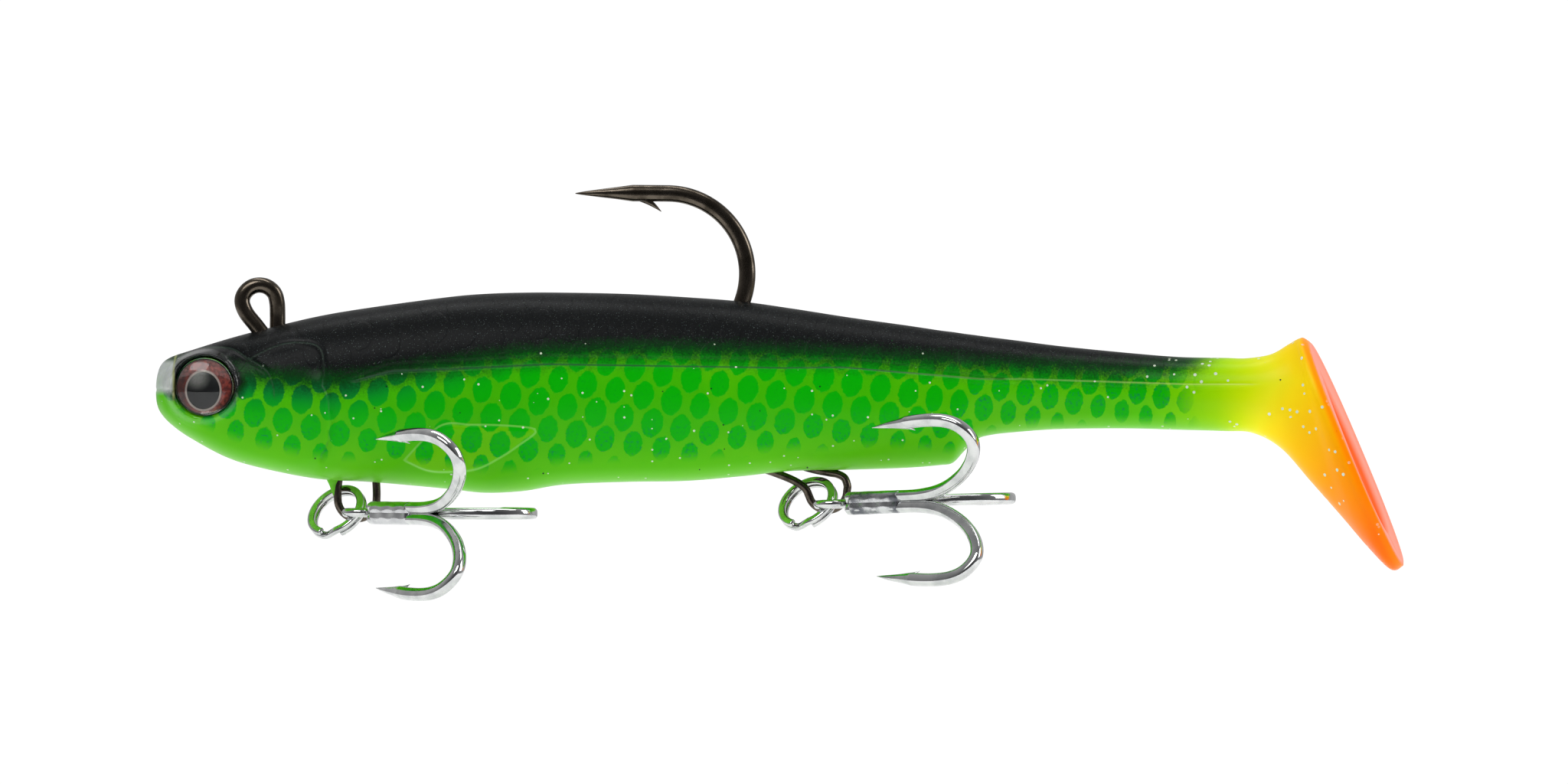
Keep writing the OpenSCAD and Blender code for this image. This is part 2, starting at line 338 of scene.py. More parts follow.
class Graph:
    """A material's node tree, with one short call for each kind of node."""

    def __init__(self, name: str) -> None:
        """Starts a material with its shader.

        Args:
            name: the material's name.
        """
        self.material = bpy.data.materials.new(name)
        self.material.use_nodes = True
        self.tree = self.material.node_tree
        self.shader = self.tree.nodes["Principled BSDF"]

    def node(self, kind: str, **settings: object) -> Node:
        """Adds a node.

        Args:
            kind: the node's type.
            **settings: properties to set on it.

        Returns:
            The new node.
        """
        made = self.tree.nodes.new(kind)
        for key, value in settings.items():
            setattr(made, key, value)
        return made

    def put(self, socket: Socket, value: object) -> None:
        """Feeds an input.

        Args:
            socket: the input.
            value: a socket to link, or a constant to set.
        """
        if isinstance(value, bpy.types.NodeSocket):
            self.tree.links.new(value, socket)
        else:
            socket.default_value = value

    def math(self, kind: str, a: object, b: object = 0.0, c: object = 0.0) -> Socket:
        """Adds a Math node.

        Args:
            kind: its operation.
            a: first value.
            b: second value, if the operation takes one.
            c: third value, if the operation takes one.

        Returns:
            The result.
        """
        made = self.node("ShaderNodeMath", operation=kind)
        for socket, value in zip(made.inputs, (a, b, c)):
            self.put(socket, value)
        return made.outputs[0]

    def add(self, a: object, b: object) -> Socket:
        """Sum of two values."""
        return self.math("ADD", a, b)

    def mul(self, a: object, b: object) -> Socket:
        """Product of two values."""
        return self.math("MULTIPLY", a, b)

    def sub(self, a: object, b: object) -> Socket:
        """The first value less the second."""
        return self.math("SUBTRACT", a, b)

    def size(self, a: object) -> Socket:
        """A value without its sign."""
        return self.math("ABSOLUTE", a)

    def distance(self, a: object, b: object) -> Socket:
        """Length of an arrow with those two parts."""
        return self.math("SQRT", self.add(self.mul(a, a), self.mul(b, b)))

    def rise(self, value: object, low: float, high: float) -> Socket:
        """Smooth step from 0 to 1.

        Args:
            value: what the step follows.
            low: value at which it starts.
            high: value at which it is complete.

        Returns:
            The step.
        """
        made = self.node("ShaderNodeMapRange", interpolation_type="SMOOTHSTEP")
        for key, item in (("Value", value), ("From Min", low), ("From Max", high)):
            self.put(made.inputs[key], item)
        return made.outputs["Result"]

    def fall(self, value: object, low: float, high: float) -> Socket:
        """Smooth step from 1 at low to 0 at high."""
        return self.sub(1.0, self.rise(value, low, high))

    def split(self, vector: Socket) -> tuple[Socket, Socket, Socket]:
        """Takes a vector apart.

        Args:
            vector: the vector.

        Returns:
            Its three parts.
        """
        made = self.node("ShaderNodeSeparateXYZ")
        self.put(made.inputs[0], vector)
        return made.outputs[0], made.outputs[1], made.outputs[2]

    def join(self, x: object, y: object, z: object) -> Socket:
        """Makes a vector.

        Args:
            x: first part.
            y: second part.
            z: third part.

        Returns:
            The vector.
        """
        made = self.node("ShaderNodeCombineXYZ")
        for socket, value in zip(made.inputs, (x, y, z)):
            self.put(socket, value)
        return made.outputs[0]

    def attribute(self, name: str) -> Socket:
        """The vector a mesh attribute holds."""
        return self.node("ShaderNodeAttribute", attribute_name=name).outputs["Vector"]

    def place(self) -> Socket:
        """Finds the place on a rigid piece.

        Returns:
            The place in millimetres of the frame.
        """
        made = self.node("ShaderNodeVectorMath", operation="SCALE")
        self.put(made.inputs[0], self.node("ShaderNodeTexCoord").outputs["Object"])
        made.inputs["Scale"].default_value = 1 / MM
        return made.outputs[0]

    def noise(self, at: Socket, scale: float, detail: float = 2.0) -> Socket:
        """Adds soft noise.

        Args:
            at: place.
            scale: features for each unit of place.
            detail: octaves of finer noise.

        Returns:
            A value about 0.5, from 0 to 1.
        """
        made = self.node("ShaderNodeTexNoise")
        self.put(made.inputs["Vector"], at)
        made.inputs["Scale"].default_value = scale
        made.inputs["Detail"].default_value = detail
        return made.outputs[0]

    def cells(self, at: Socket, scale: float) -> tuple[Socket, Socket]:
        """Scatters points.

        Args:
            at: place.
            scale: points for each unit of place.

        Returns:
            Distance to the nearest point, and that point's own random number.
        """
        made = self.node("ShaderNodeTexVoronoi")
        self.put(made.inputs["Vector"], at)
        made.inputs["Scale"].default_value = scale
        return made.outputs["Distance"], self.split(made.outputs["Color"])[0]

    def mix(self, share: object, a: object, b: object) -> Socket:
        """Mixes two colours.

        Args:
            share: how much of the second colour there is, from 0 to 1.
            a: first colour, as a socket or as 0 to 255.
            b: second colour.

        Returns:
            The colour.
        """
        made = self.node("ShaderNodeMix", data_type="RGBA")
        self.put(made.inputs[0], share)
        for socket, value in ((made.inputs[6], a), (made.inputs[7], b)):
            self.put(socket, linear(value) if isinstance(value, tuple) and len(value) == 3 else value)
        return made.outputs[2]

    def ramp(self, value: object, low: float, high: float, stops: Sequence[tuple[float, Colour]]) -> Socket:
        """Colours along a value.

        Args:
            value: what the colours follow.
            low: value at the ramp's start.
            high: value at its end.
            stops: value and colour of each stop.

        Returns:
            The colour.
        """
        share = self.node("ShaderNodeMapRange")
        for key, item in (("Value", value), ("From Min", low), ("From Max", high)):
            self.put(share.inputs[key], item)
        made = self.node("ShaderNodeValToRGB")
        bar = made.color_ramp
        while len(bar.elements) > 1:
            bar.elements.remove(bar.elements[-1])
        for index, (at, colour) in enumerate(stops):
            where = (at - low) / (high - low)
            element = bar.elements[0] if index == 0 else bar.elements.new(where)
            element.position = where
            element.color = linear(colour)
        self.put(made.inputs[0], share.outputs["Result"])
        return made.outputs[0]

    def bump(self, height: Socket, depth: float, strength: float) -> None:
        """Gives the shader fine relief.

        Args:
            height: height from 0 to 1.
            depth: depth in millimetres.
            strength: share of that depth that shows.
        """
        made = self.node("ShaderNodeBump")
        made.inputs["Distance"].default_value = depth * MM
        made.inputs["Strength"].default_value = strength
        self.put(made.inputs["Height"], height)
        self.put(self.shader.inputs["Normal"], made.outputs[0])

    def base(self, colour: Socket) -> None:
        """Gives the shader its colour."""
        self.put(self.shader.inputs["Base Color"], colour)

    def fix(self, **values: float | tuple) -> None:
        """Sets constants on the shader's own sockets, by name with _ for a space."""
        for key, value in values.items():
            self.shader.inputs[key.replace("_", " ")].default_value = value


@dataclass(frozen=True)
class SkinFields:
    """What the soft plastic's colour follows, as sockets of its graph.

    Attributes:
        rest: place on the skin before the tail is set to one side.
        x: station of that place.
        z: its height.
        below_black: depth below the edge of the sprayed back.
        above_belly: height above the belly.
        aft: distance behind the start of the tail's yellow.
        grain: fine noise.
        cloud: coarse noise.
    """

    rest: Socket
    x: Socket
    z: Socket
    below_black: Socket
    above_belly: Socket
    aft: Socket
    grain: Socket
    cloud: Socket


@dataclass(frozen=True)
class SoftPlastic:
    """Moulded soft plastic with a sprayed back, printed scales and glitter.

    Attributes:
        black: the sprayed back.
        deep: the overspray under it.
        scale: a scale on the flank.
        shaded_scale: a scale high on the head.
        belly: the plain belly.
        pale: the belly's lowest edge.
        face: rear face of the paddle, its orange with a painted pale sheen.
        groove: the groove down that face, the orange deepened with painted shade.
        rim: painted shade, a darker orange band along the paddle's rear edge.
        nose: painted reflection, pale grey on the flat of the snout.
        body_tones: distance behind the start of the yellow, and the ground colour there.
        line_highlight_tones: station, and the painted highlight along the lateral line there.
        glitter: how fine, how scarce, how much denser on the tail and what colour, for each kind.
        row: step from a scale to the next one aft.
        column: step from a scale to the one below.
        first: centre of one scale.
        half: half width and half height of a scale.
        tilt: lean of a scale in degrees.
        lip: inner edge, inner crest, outer crest and outer edge of the glossy lip round the eye.
    """

    black: Colour = (16, 18, 19)
    deep: Colour = (10, 66, 20)
    scale: Colour = (0, 182, 4)
    shaded_scale: Colour = (0, 104, 58)
    belly: Colour = (92, 196, 12)
    pale: Colour = (132, 212, 74)
    face: Colour = (255, 150, 126)
    groove: Colour = (255, 92, 0)
    rim: Colour = (255, 128, 0)
    nose: Colour = (200, 206, 202)
    body_tones: tuple[tuple[float, Colour], ...] = (
        (-165, (92, 198, 26)), (-140, (70, 188, 6)), (-60, (66, 188, 3)), (-24, (78, 194, 4)),
        (-12, (88, 204, 2)), (-5, (128, 214, 0)), (0, (162, 220, 0)), (5, (204, 228, 6)),
        (9, (238, 234, 30)), (12, (255, 224, 22)), (17, (255, 198, 8)), (25, (255, 160, 0)), (37, (255, 112, 6)))
    line_highlight_tones: tuple[tuple[float, Colour], ...] = (
        (0, (50, 84, 62)), (95, (40, 84, 54)), (122, (150, 210, 110)), (150, (226, 240, 120)))
    glitter: tuple[tuple[float, float, float, Colour], ...] = (
        (0.42, 0.86, 0.34, (226, 234, 216)), (0.95, 0.90, 0.12, (210, 224, 200)))
    row: tuple[float, float] = (4.28, -0.80)
    column: tuple[float, float] = (1.32, -4.17)
    first: tuple[float, float] = (44.14, -19.32)
    half: tuple[float, float] = (1.56, 2.2)
    tilt: float = 13.0
    lip: tuple[float, float, float, float] = (4.2, 4.6, 5.5, 6.0)

    def lattice(
        self, g: Graph, x: Socket, z: Socket, start: tuple[float, float], size: Socket, wobble: Socket
    ) -> Socket:
        """One of the two interleaved sets of scales.

        Args:
            g: the graph.
            x: station.
            z: height.
            start: centre of one scale in this set.
            size: share of full size that a scale has here.
            wobble: small noise that roughens the outline.

        Returns:
            1 inside a scale and 0 outside.
        """
        down = (2 * self.column[0] - self.row[0], 2 * self.column[1] - self.row[1])
        area = self.row[0] * down[1] - down[0] * self.row[1]
        dx, dz = g.add(x, -start[0]), g.add(z, -start[1])
        i = g.add(g.mul(dx, down[1] / area), g.mul(dz, -down[0] / area))
        j = g.add(g.mul(dz, self.row[0] / area), g.mul(dx, -self.row[1] / area))
        whole_i, whole_j = g.math("ROUND", i), g.math("ROUND", j)
        fi, fj = g.sub(i, whole_i), g.sub(j, whole_j)
        px = g.add(g.mul(fi, self.row[0]), g.mul(fj, down[0]))
        pz = g.add(g.mul(fi, self.row[1]), g.mul(fj, down[1]))
        chance = g.node("ShaderNodeTexWhiteNoise", noise_dimensions="3D")
        g.put(chance.inputs["Vector"], g.join(whole_i, whole_j, start[0]))
        lean = math.radians(self.tilt)
        across = g.add(g.mul(px, math.cos(lean)), g.mul(pz, -math.sin(lean)))
        along = g.add(g.mul(px, math.sin(lean)), g.mul(pz, math.cos(lean)))
        own = g.mul(size, g.add(0.93, g.mul(chance.outputs["Value"], 0.12)))
        wide = g.math("POWER", g.size(g.math("DIVIDE", across, g.mul(own, self.half[0]))), 1.7)
        long = g.math("POWER", g.size(g.math("DIVIDE", along, g.mul(own, self.half[1]))), 2.0)
        return g.fall(g.add(g.add(wide, long), wobble), 0.9, 1.12)

    def scales(self, g: Graph, at: SkinFields) -> Socket:
        """All scales, smaller towards the belly and fading out on the tail stem.

        Args:
            g: the graph.
            at: what the colour follows.

        Returns:
            1 inside a scale and 0 outside.
        """
        wobble = g.add(g.mul(g.add(g.noise(at.rest, 1.3, 3), -0.5), 0.55), g.mul(g.add(at.grain, -0.5), 0.35))
        ahead = g.math("MAXIMUM", g.sub(53.0, at.x), 0.0)
        level = g.sub(at.z, g.mul(g.mul(ahead, ahead), 0.0007))
        behind = g.math("MAXIMUM", g.add(at.x, -100.0), 0.0)
        station = g.add(at.x, g.mul(behind, 0.14))
        clear = g.add(at.above_belly, g.mul(g.rise(at.x, 96, 113), 2.6))
        size = g.add(0.74, g.mul(g.rise(clear, 3.0, 7.5), 0.26))
        other = (self.first[0] + self.column[0], self.first[1] + self.column[1])
        sets = [self.lattice(g, station, level, start, size, wobble) for start in (self.first, other)]
        fade = g.mul(g.rise(clear, 2.6, 4.8), g.fall(at.x, 138.0, 145.0))
        return g.mul(g.math("MAXIMUM", *sets), fade)

    def scale_tone(self, g: Graph, at: SkinFields) -> Socket:
        """Green of the scales, bluer high on the head and mottled low on the flank.

        Args:
            g: the graph.
            at: what the colour follows.

        Returns:
            The colour.
        """
        high = g.mul(g.fall(at.below_black, 1.0, 7.5), g.fall(at.x, 8, 42))
        tone = g.mix(high, self.scale, self.shaded_scale)
        mottle = g.mul(g.rise(g.noise(at.rest, 2.2, 5), 0.54, 0.66), g.fall(at.above_belly, 5, 11))
        tone = g.mix(mottle, tone, (0, 150, 62))
        return g.mix(g.mul(g.rise(at.grain, 0.56, 0.7), 0.35), tone, (0, 140, 40))

    def ground(self, g: Graph, at: SkinFields) -> Socket:
        """Colour between the scales: green, paler at the belly, yellow and orange on the tail.

        Args:
            g: the graph.
            at: what the colour follows.

        Returns:
            The colour.
        """
        tone = g.ramp(at.aft, -170, 40, self.body_tones)
        low = g.mul(g.mul(g.fall(at.above_belly, 2.5, 9.0), g.fall(at.aft, -30, -8)), 0.85)
        tone = g.mix(low, tone, self.belly)
        lowest = g.mul(g.fall(at.above_belly, -0.2, 2.6), g.mul(g.fall(at.aft, -8, 6), 0.55))
        tone = g.mix(lowest, tone, self.pale)
        drift = g.mul(g.rise(g.noise(at.rest, 0.09), 0.45, 0.75), g.mul(g.fall(at.aft, -20, 0), 0.25))
        return g.mix(drift, tone, (118, 204, 4))

    def spray(self, g: Graph, at: SkinFields, skin: Socket) -> tuple[Socket, Socket]:
        """Sprays the back black, with a soft grainy edge and a few pale specks.

        Args:
            g: the graph.
            at: what the colour follows.
            skin: the colour so far.

        Returns:
            The colour, and how black it was sprayed.
        """
        rough_edge = g.add(g.mul(g.add(at.grain, -0.5), 3.0), g.mul(g.add(at.cloud, -0.5), 1.4))
        depth = g.add(at.below_black, rough_edge)
        skin = g.mix(g.mul(g.fall(depth, 0.2, 4.4), g.fall(at.aft, -6, 2)), skin, self.deep)
        black = g.mul(g.fall(depth, -1.7, 1.1), g.fall(at.aft, -9, 0))
        skin = g.mix(black, skin, self.black)
        specks = g.mul(black, g.rise(g.noise(at.rest, 5.5, 1), 0.66, 0.74))
        return g.mix(specks, skin, (74, 84, 82)), black

    def draw_lines(self, g: Graph, at: SkinFields, skin: Socket, mask: Socket) -> Socket:
        """Paints highlights along the lateral line and the head's folds, and picks out the pectoral fin.

        Args:
            g: the graph.
            at: what the colour follows.
            skin: the colour so far.
            mask: 1 inside a scale.

        Returns:
            The colour.
        """
        line, head_line, fin = g.split(g.attribute("creases"))
        # Painted highlight along the bead under the lateral line, grey-green ahead and pale on the stem.
        tone = g.ramp(at.x, -20, 180, self.line_highlight_tones)
        strength = g.add(0.45, g.mul(g.fall(at.x, 104, 118), 0.3))
        reach = g.mul(g.rise(at.x, 13, 18), g.mul(g.fall(at.x, 150, 154), strength))
        skin = g.mix(g.mul(g.fall(g.size(line), 0.04, 0.2), reach), skin, tone)
        # Painted highlight along the folds of the cheek and gill cover.
        skin = g.mix(g.mul(g.fall(head_line, 0.02, 0.22), 0.22), skin, (84, 110, 92))
        between = g.mul(g.sub(1.0, mask), 0.35)
        skin = g.mix(g.mul(g.rise(fin, -0.05, 0.35), between), skin, (132, 208, 0))
        return g.mix(g.mul(g.fall(g.size(fin), 0.05, 0.24), 0.5), skin, (150, 220, 104))

    def paint_nose_reflection(self, g: Graph, at: SkinFields, skin: Socket) -> Socket:
        """Paints a pale grey reflection on the flat of the snout, with a yellowish edge behind it.

        Args:
            g: the graph.
            at: what the colour follows.
            skin: the colour so far.

        Returns:
            The colour.
        """
        # Painted reflection: pale grey over the flat on the snout.
        flat = g.mul(g.fall(at.x, -13.0, -12.5), g.mul(g.rise(at.z, -14.3, -13.1), g.fall(at.z, -9.4, -8.5)))
        skin = g.mix(g.mul(flat, g.add(0.62, g.mul(at.cloud, 0.5))), skin, self.nose)
        edge = g.fall(g.size(g.add(at.x, 12.65)), 0.05, 0.3)
        return g.mix(g.mul(edge, g.mul(g.rise(at.z, -15.5, -14), 0.5)), skin, (190, 196, 120))

    def sprinkle(self, g: Graph, at: SkinFields, skin: Socket, black: Socket, rear: Socket) -> Socket:
        """Scatters glitter, denser on the tail, and a few dark flecks.

        Args:
            g: the graph.
            at: what the colour follows.
            skin: the colour so far.
            black: how black the skin was sprayed.
            rear: 1 on the paddle's rear face, which has none.

        Returns:
            The colour.
        """
        tail_share = g.rise(at.x, 118, 152)
        for fineness, scarcity, denser, colour in self.glitter:
            gap, chance = g.cells(at.rest, fineness)
            there = g.math("GREATER_THAN", chance, g.sub(scarcity, g.mul(tail_share, denser)))
            radius = g.add(0.05, g.add(g.mul(g.add(chance, -0.7), 0.10), g.mul(tail_share, 0.035)))
            dot = g.mul(g.math("LESS_THAN", gap, g.mul(radius, fineness / self.glitter[0][0])), there)
            skin = g.mix(g.mul(g.mul(dot, g.sub(1.0, rear)), g.fall(black, 0.2, 0.9)), skin, colour)
        gap, chance = g.cells(g.join(g.add(at.x, 7.3), g.mul(at.z, 1.02), 0.4), 0.55)
        fleck = g.mul(g.math("LESS_THAN", gap, 0.075), g.math("GREATER_THAN", chance, 0.86))
        return g.mix(fleck, skin, (14, 52, 26))

    def eye_lip(self, g: Graph, at: SkinFields) -> Socket:
        """Finds the raised lip round the eye.

        Args:
            g: the graph.
            at: what the colour follows.

        Returns:
            1 on the lip and 0 away from it.
        """
        eye_x, eye_z = middle_of("left_eye_foil")
        away = g.distance(g.add(at.x, LIP_AHEAD - eye_x), g.add(at.z, -eye_z))
        return g.mul(g.rise(away, *self.lip[:2]), g.fall(away, *self.lip[2:]))

    def build(self) -> bpy.types.Material:
        """Makes the material.

        Returns:
            The new material.
        """
        g = Graph("soft_plastic")
        rest = g.attribute("rest")
        x, _, z = g.split(rest)
        below_black, above_belly, aft = g.split(g.attribute("marks"))
        rear, groove, rim = g.split(g.attribute("tail_face"))
        grain, cloud = g.noise(rest, 3.6, 3), g.noise(rest, 0.55)
        at = SkinFields(rest, x, z, below_black, above_belly, aft, grain, cloud)

        mask = self.scales(g, at)
        skin = g.mix(g.mul(mask, 0.96), self.ground(g, at), self.scale_tone(g, at))
        skin, black = self.spray(g, at, skin)
        skin = self.draw_lines(g, at, skin, mask)
        skin = self.paint_nose_reflection(g, at, skin)
        skin = self.sprinkle(g, at, skin, black, rear)
        # Painted shade: a darker orange band along the paddle's rear edge.
        skin = g.mix(g.mul(rim, 0.8), skin, self.rim)
        # Rear face: the paddle's orange with a painted pale sheen over it.
        skin = g.mix(rear, skin, self.face)
        # Groove: the orange deepened with painted shade where the face turns away.
        skin = g.mix(g.mul(rear, groove), skin, self.groove)
        g.base(skin)
        # Painted light: the tail's yellow and orange glow faintly in their own colour.
        g.put(g.shader.inputs["Emission Color"], skin)
        g.put(g.shader.inputs["Emission Strength"], g.mul(g.rise(aft, -10, 8), 0.13))

        lip = self.eye_lip(g, at)
        rough = g.add(0.27, g.add(g.mul(black, 0.06), g.mul(cloud, 0.08)))
        g.put(g.shader.inputs["Roughness"], g.add(rough, g.mul(lip, -0.17)))
        g.put(g.shader.inputs["Specular IOR Level"], g.add(0.09, g.mul(lip, 0.55)))
        height = g.add(g.mul(mask, 0.5), g.add(g.mul(grain, g.add(0.10, g.mul(black, 0.35))), g.mul(cloud, 0.25)))
        g.bump(height, 0.09, 0.6)
        g.fix(Subsurface_Weight=0.10, Subsurface_Scale=0.0016, Subsurface_Radius=(0.9, 1.0, 0.3),
              Coat_Weight=0.015, Coat_Roughness=0.16, IOR=1.45)
        return g.material


@dataclass(frozen=True)
class WireMetal:
    """Plated or bare steel wire.

    Attributes:
        name: the material's name.
        light: lighter tone of the plating.
        dark: darker tone, in blotches and scratches.
        rough: roughness of a clean patch.
        uneven: how much the roughness varies.
        pits: depth of its fine relief.
        scuff: how much less the front rig is worn than the rear one.
        rigs: stations between which the wear goes from the front rig's to the rear one's.
    """

    name: str
    light: Colour
    dark: Colour
    rough: float
    uneven: float
    pits: float
    scuff: float = 0.0
    rigs: tuple[float, float] = (60.0, 80.0)

    def build(self) -> bpy.types.Material:
        """Makes the material.

        Returns:
            The new material.
        """
        g = Graph(self.name)
        at = g.place()
        blotch, fine = g.noise(at, 0.45, 3), g.noise(at, 7.0, 3)
        worn = g.rise(g.add(g.mul(blotch, 0.85), g.mul(fine, 0.15)), 0.38, 0.66)
        aft = g.rise(g.split(at)[0], *self.rigs)
        worn = g.mul(worn, g.add(1.0 - self.scuff, g.mul(aft, self.scuff)))
        g.base(g.mix(worn, self.light, self.dark))
        g.put(g.shader.inputs["Roughness"], g.add(self.rough, g.mul(worn, self.uneven)))
        g.bump(g.add(fine, g.mul(blotch, 0.6)), self.pits, 0.5)
        g.fix(Metallic=1.0)
        return g.material


@dataclass(frozen=True)
class EyePrint:
    """Printed eye disc: black pupil, pale ring, marbled red iris.

    Attributes:
        pupil_r: radius of the pupil.
        ring: width of the pale ring round it.
        shift: the pupil's offset from the middle of the disc.
        slim: how much taller than wide the pupil is.
        glint: the pale glow's offset from the middle of the pupil.
    """

    pupil_r: float = 2.75
    ring: float = 0.42
    shift: tuple[float, float] = (-0.2, -0.6)
    slim: float = 1.14
    glint: tuple[float, float] = (-0.9, 2.0)

    def build(self) -> bpy.types.Material:
        """Makes the material.

        Returns:
            The new material.
        """
        middle_x, middle_z = middle_of("left_eye_foil")
        low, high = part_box("left_eye_foil")
        radius = (high.z - low.z) / 2 / MM
        g = Graph("eye_print")
        at = g.place()
        x, _, z = g.split(at)
        dx, dz = g.add(x, -middle_x), g.add(z, -middle_z)
        px, pz = g.add(dx, -self.shift[0]), g.add(dz, -self.shift[1])
        marble = g.noise(g.join(dx, 0.0, dz), 1.7, 6)
        fine = g.noise(at, 6.0, 3)
        iris = g.mix(g.rise(g.add(g.mul(marble, 0.75), g.mul(fine, 0.25)), 0.38, 0.62), (212, 82, 66), (120, 30, 28))
        # Painted shade: the iris is darker on its front side, away from the top.
        iris = g.mix(g.mul(g.fall(dx, -3.4, -0.6), g.mul(g.fall(dz, 1.0, 3.4), 0.75)), iris, (62, 36, 34))
        iris = g.mix(g.mul(g.fall(dz, -3.9, -2.6), 0.45), iris, (206, 130, 120))
        iris = g.mix(g.rise(g.distance(dx, dz), radius - 0.35, radius), iris, (66, 20, 18))
        far = g.distance(g.mul(px, self.slim), pz)
        ring = g.mul(g.fall(far, self.pupil_r + self.ring * 0.4, self.pupil_r + self.ring), 0.9)
        iris = g.mix(ring, iris, (232, 214, 206))
        glow = g.fall(g.distance(g.add(px, -self.glint[0]), g.add(pz, -self.glint[1])), 0.1, 2.3)
        pupil = g.mix(g.mul(glow, g.add(0.45, g.mul(fine, 0.6))), (8, 8, 10), (196, 192, 188))
        g.base(g.mix(g.fall(far, self.pupil_r - 0.08, self.pupil_r + 0.05), iris, pupil))
        g.put(g.shader.inputs["Roughness"], g.add(0.22, g.mul(fine, 0.2)))
        g.bump(g.add(marble, g.mul(fine, 0.5)), 0.03, 0.5)
        g.fix(Coat_Weight=0.3)
        return g.material


@dataclass(frozen=True)
class ClearResin:
    """Clear domed resin over the eye print.

    Attributes:
        rough: roughness of a clean patch.
    """

    rough: float = 0.03

    def build(self) -> bpy.types.Material:
        """Makes the material.

        Returns:
            The new material.
        """
        g = Graph("clear_resin")
        at = g.place()
        haze = g.noise(at, 1.4, 2)
        g.base(g.mix(haze, (255, 255, 255), (236, 244, 240)))
        g.put(g.shader.inputs["Roughness"], g.add(self.rough, g.mul(haze, 0.03)))
        g.bump(haze, 0.02, 0.25)
        g.fix(Transmission_Weight=1.0, IOR=1.48)
        return g.material


class Materials:
    """Every finish, made once and shared."""

    def __init__(self) -> None:
        """Makes all the materials."""
        makers = {
            Finish.SOFT: SoftPlastic(),
            Finish.DARK_WIRE: WireMetal("dark_nickel", (98, 90, 80), (64, 58, 50), 0.2, 0.08, 0.008),
            Finish.BRIGHT_WIRE: WireMetal("bright_nickel", (216, 217, 216), (192, 194, 194), 0.05, 0.06, 0.003),
            Finish.SOLDER: WireMetal("solder", (208, 209, 210), (106, 108, 114), 0.1, 0.28, 0.02, 0.75),
            Finish.PRINT: EyePrint(),
            Finish.RESIN: ClearResin(),
            Finish.LEAD: WireMetal("cast_lead", (128, 130, 136), (84, 86, 92), 0.45, 0.2, 0.08),
        }
        self.made = {finish: maker.build() for finish, maker in makers.items()}

    def dress(self, piece: bpy.types.Object, finish: Finish) -> bpy.types.Object:
        """Gives a piece one finish.

        Args:
            piece: the mesh object.
            finish: its finish.

        Returns:
            The same piece.
        """
        piece.data.materials.clear()
        piece.data.materials.append(self.made[finish])
        return piece


# ---- the soft body -------------------------------------------------------------------


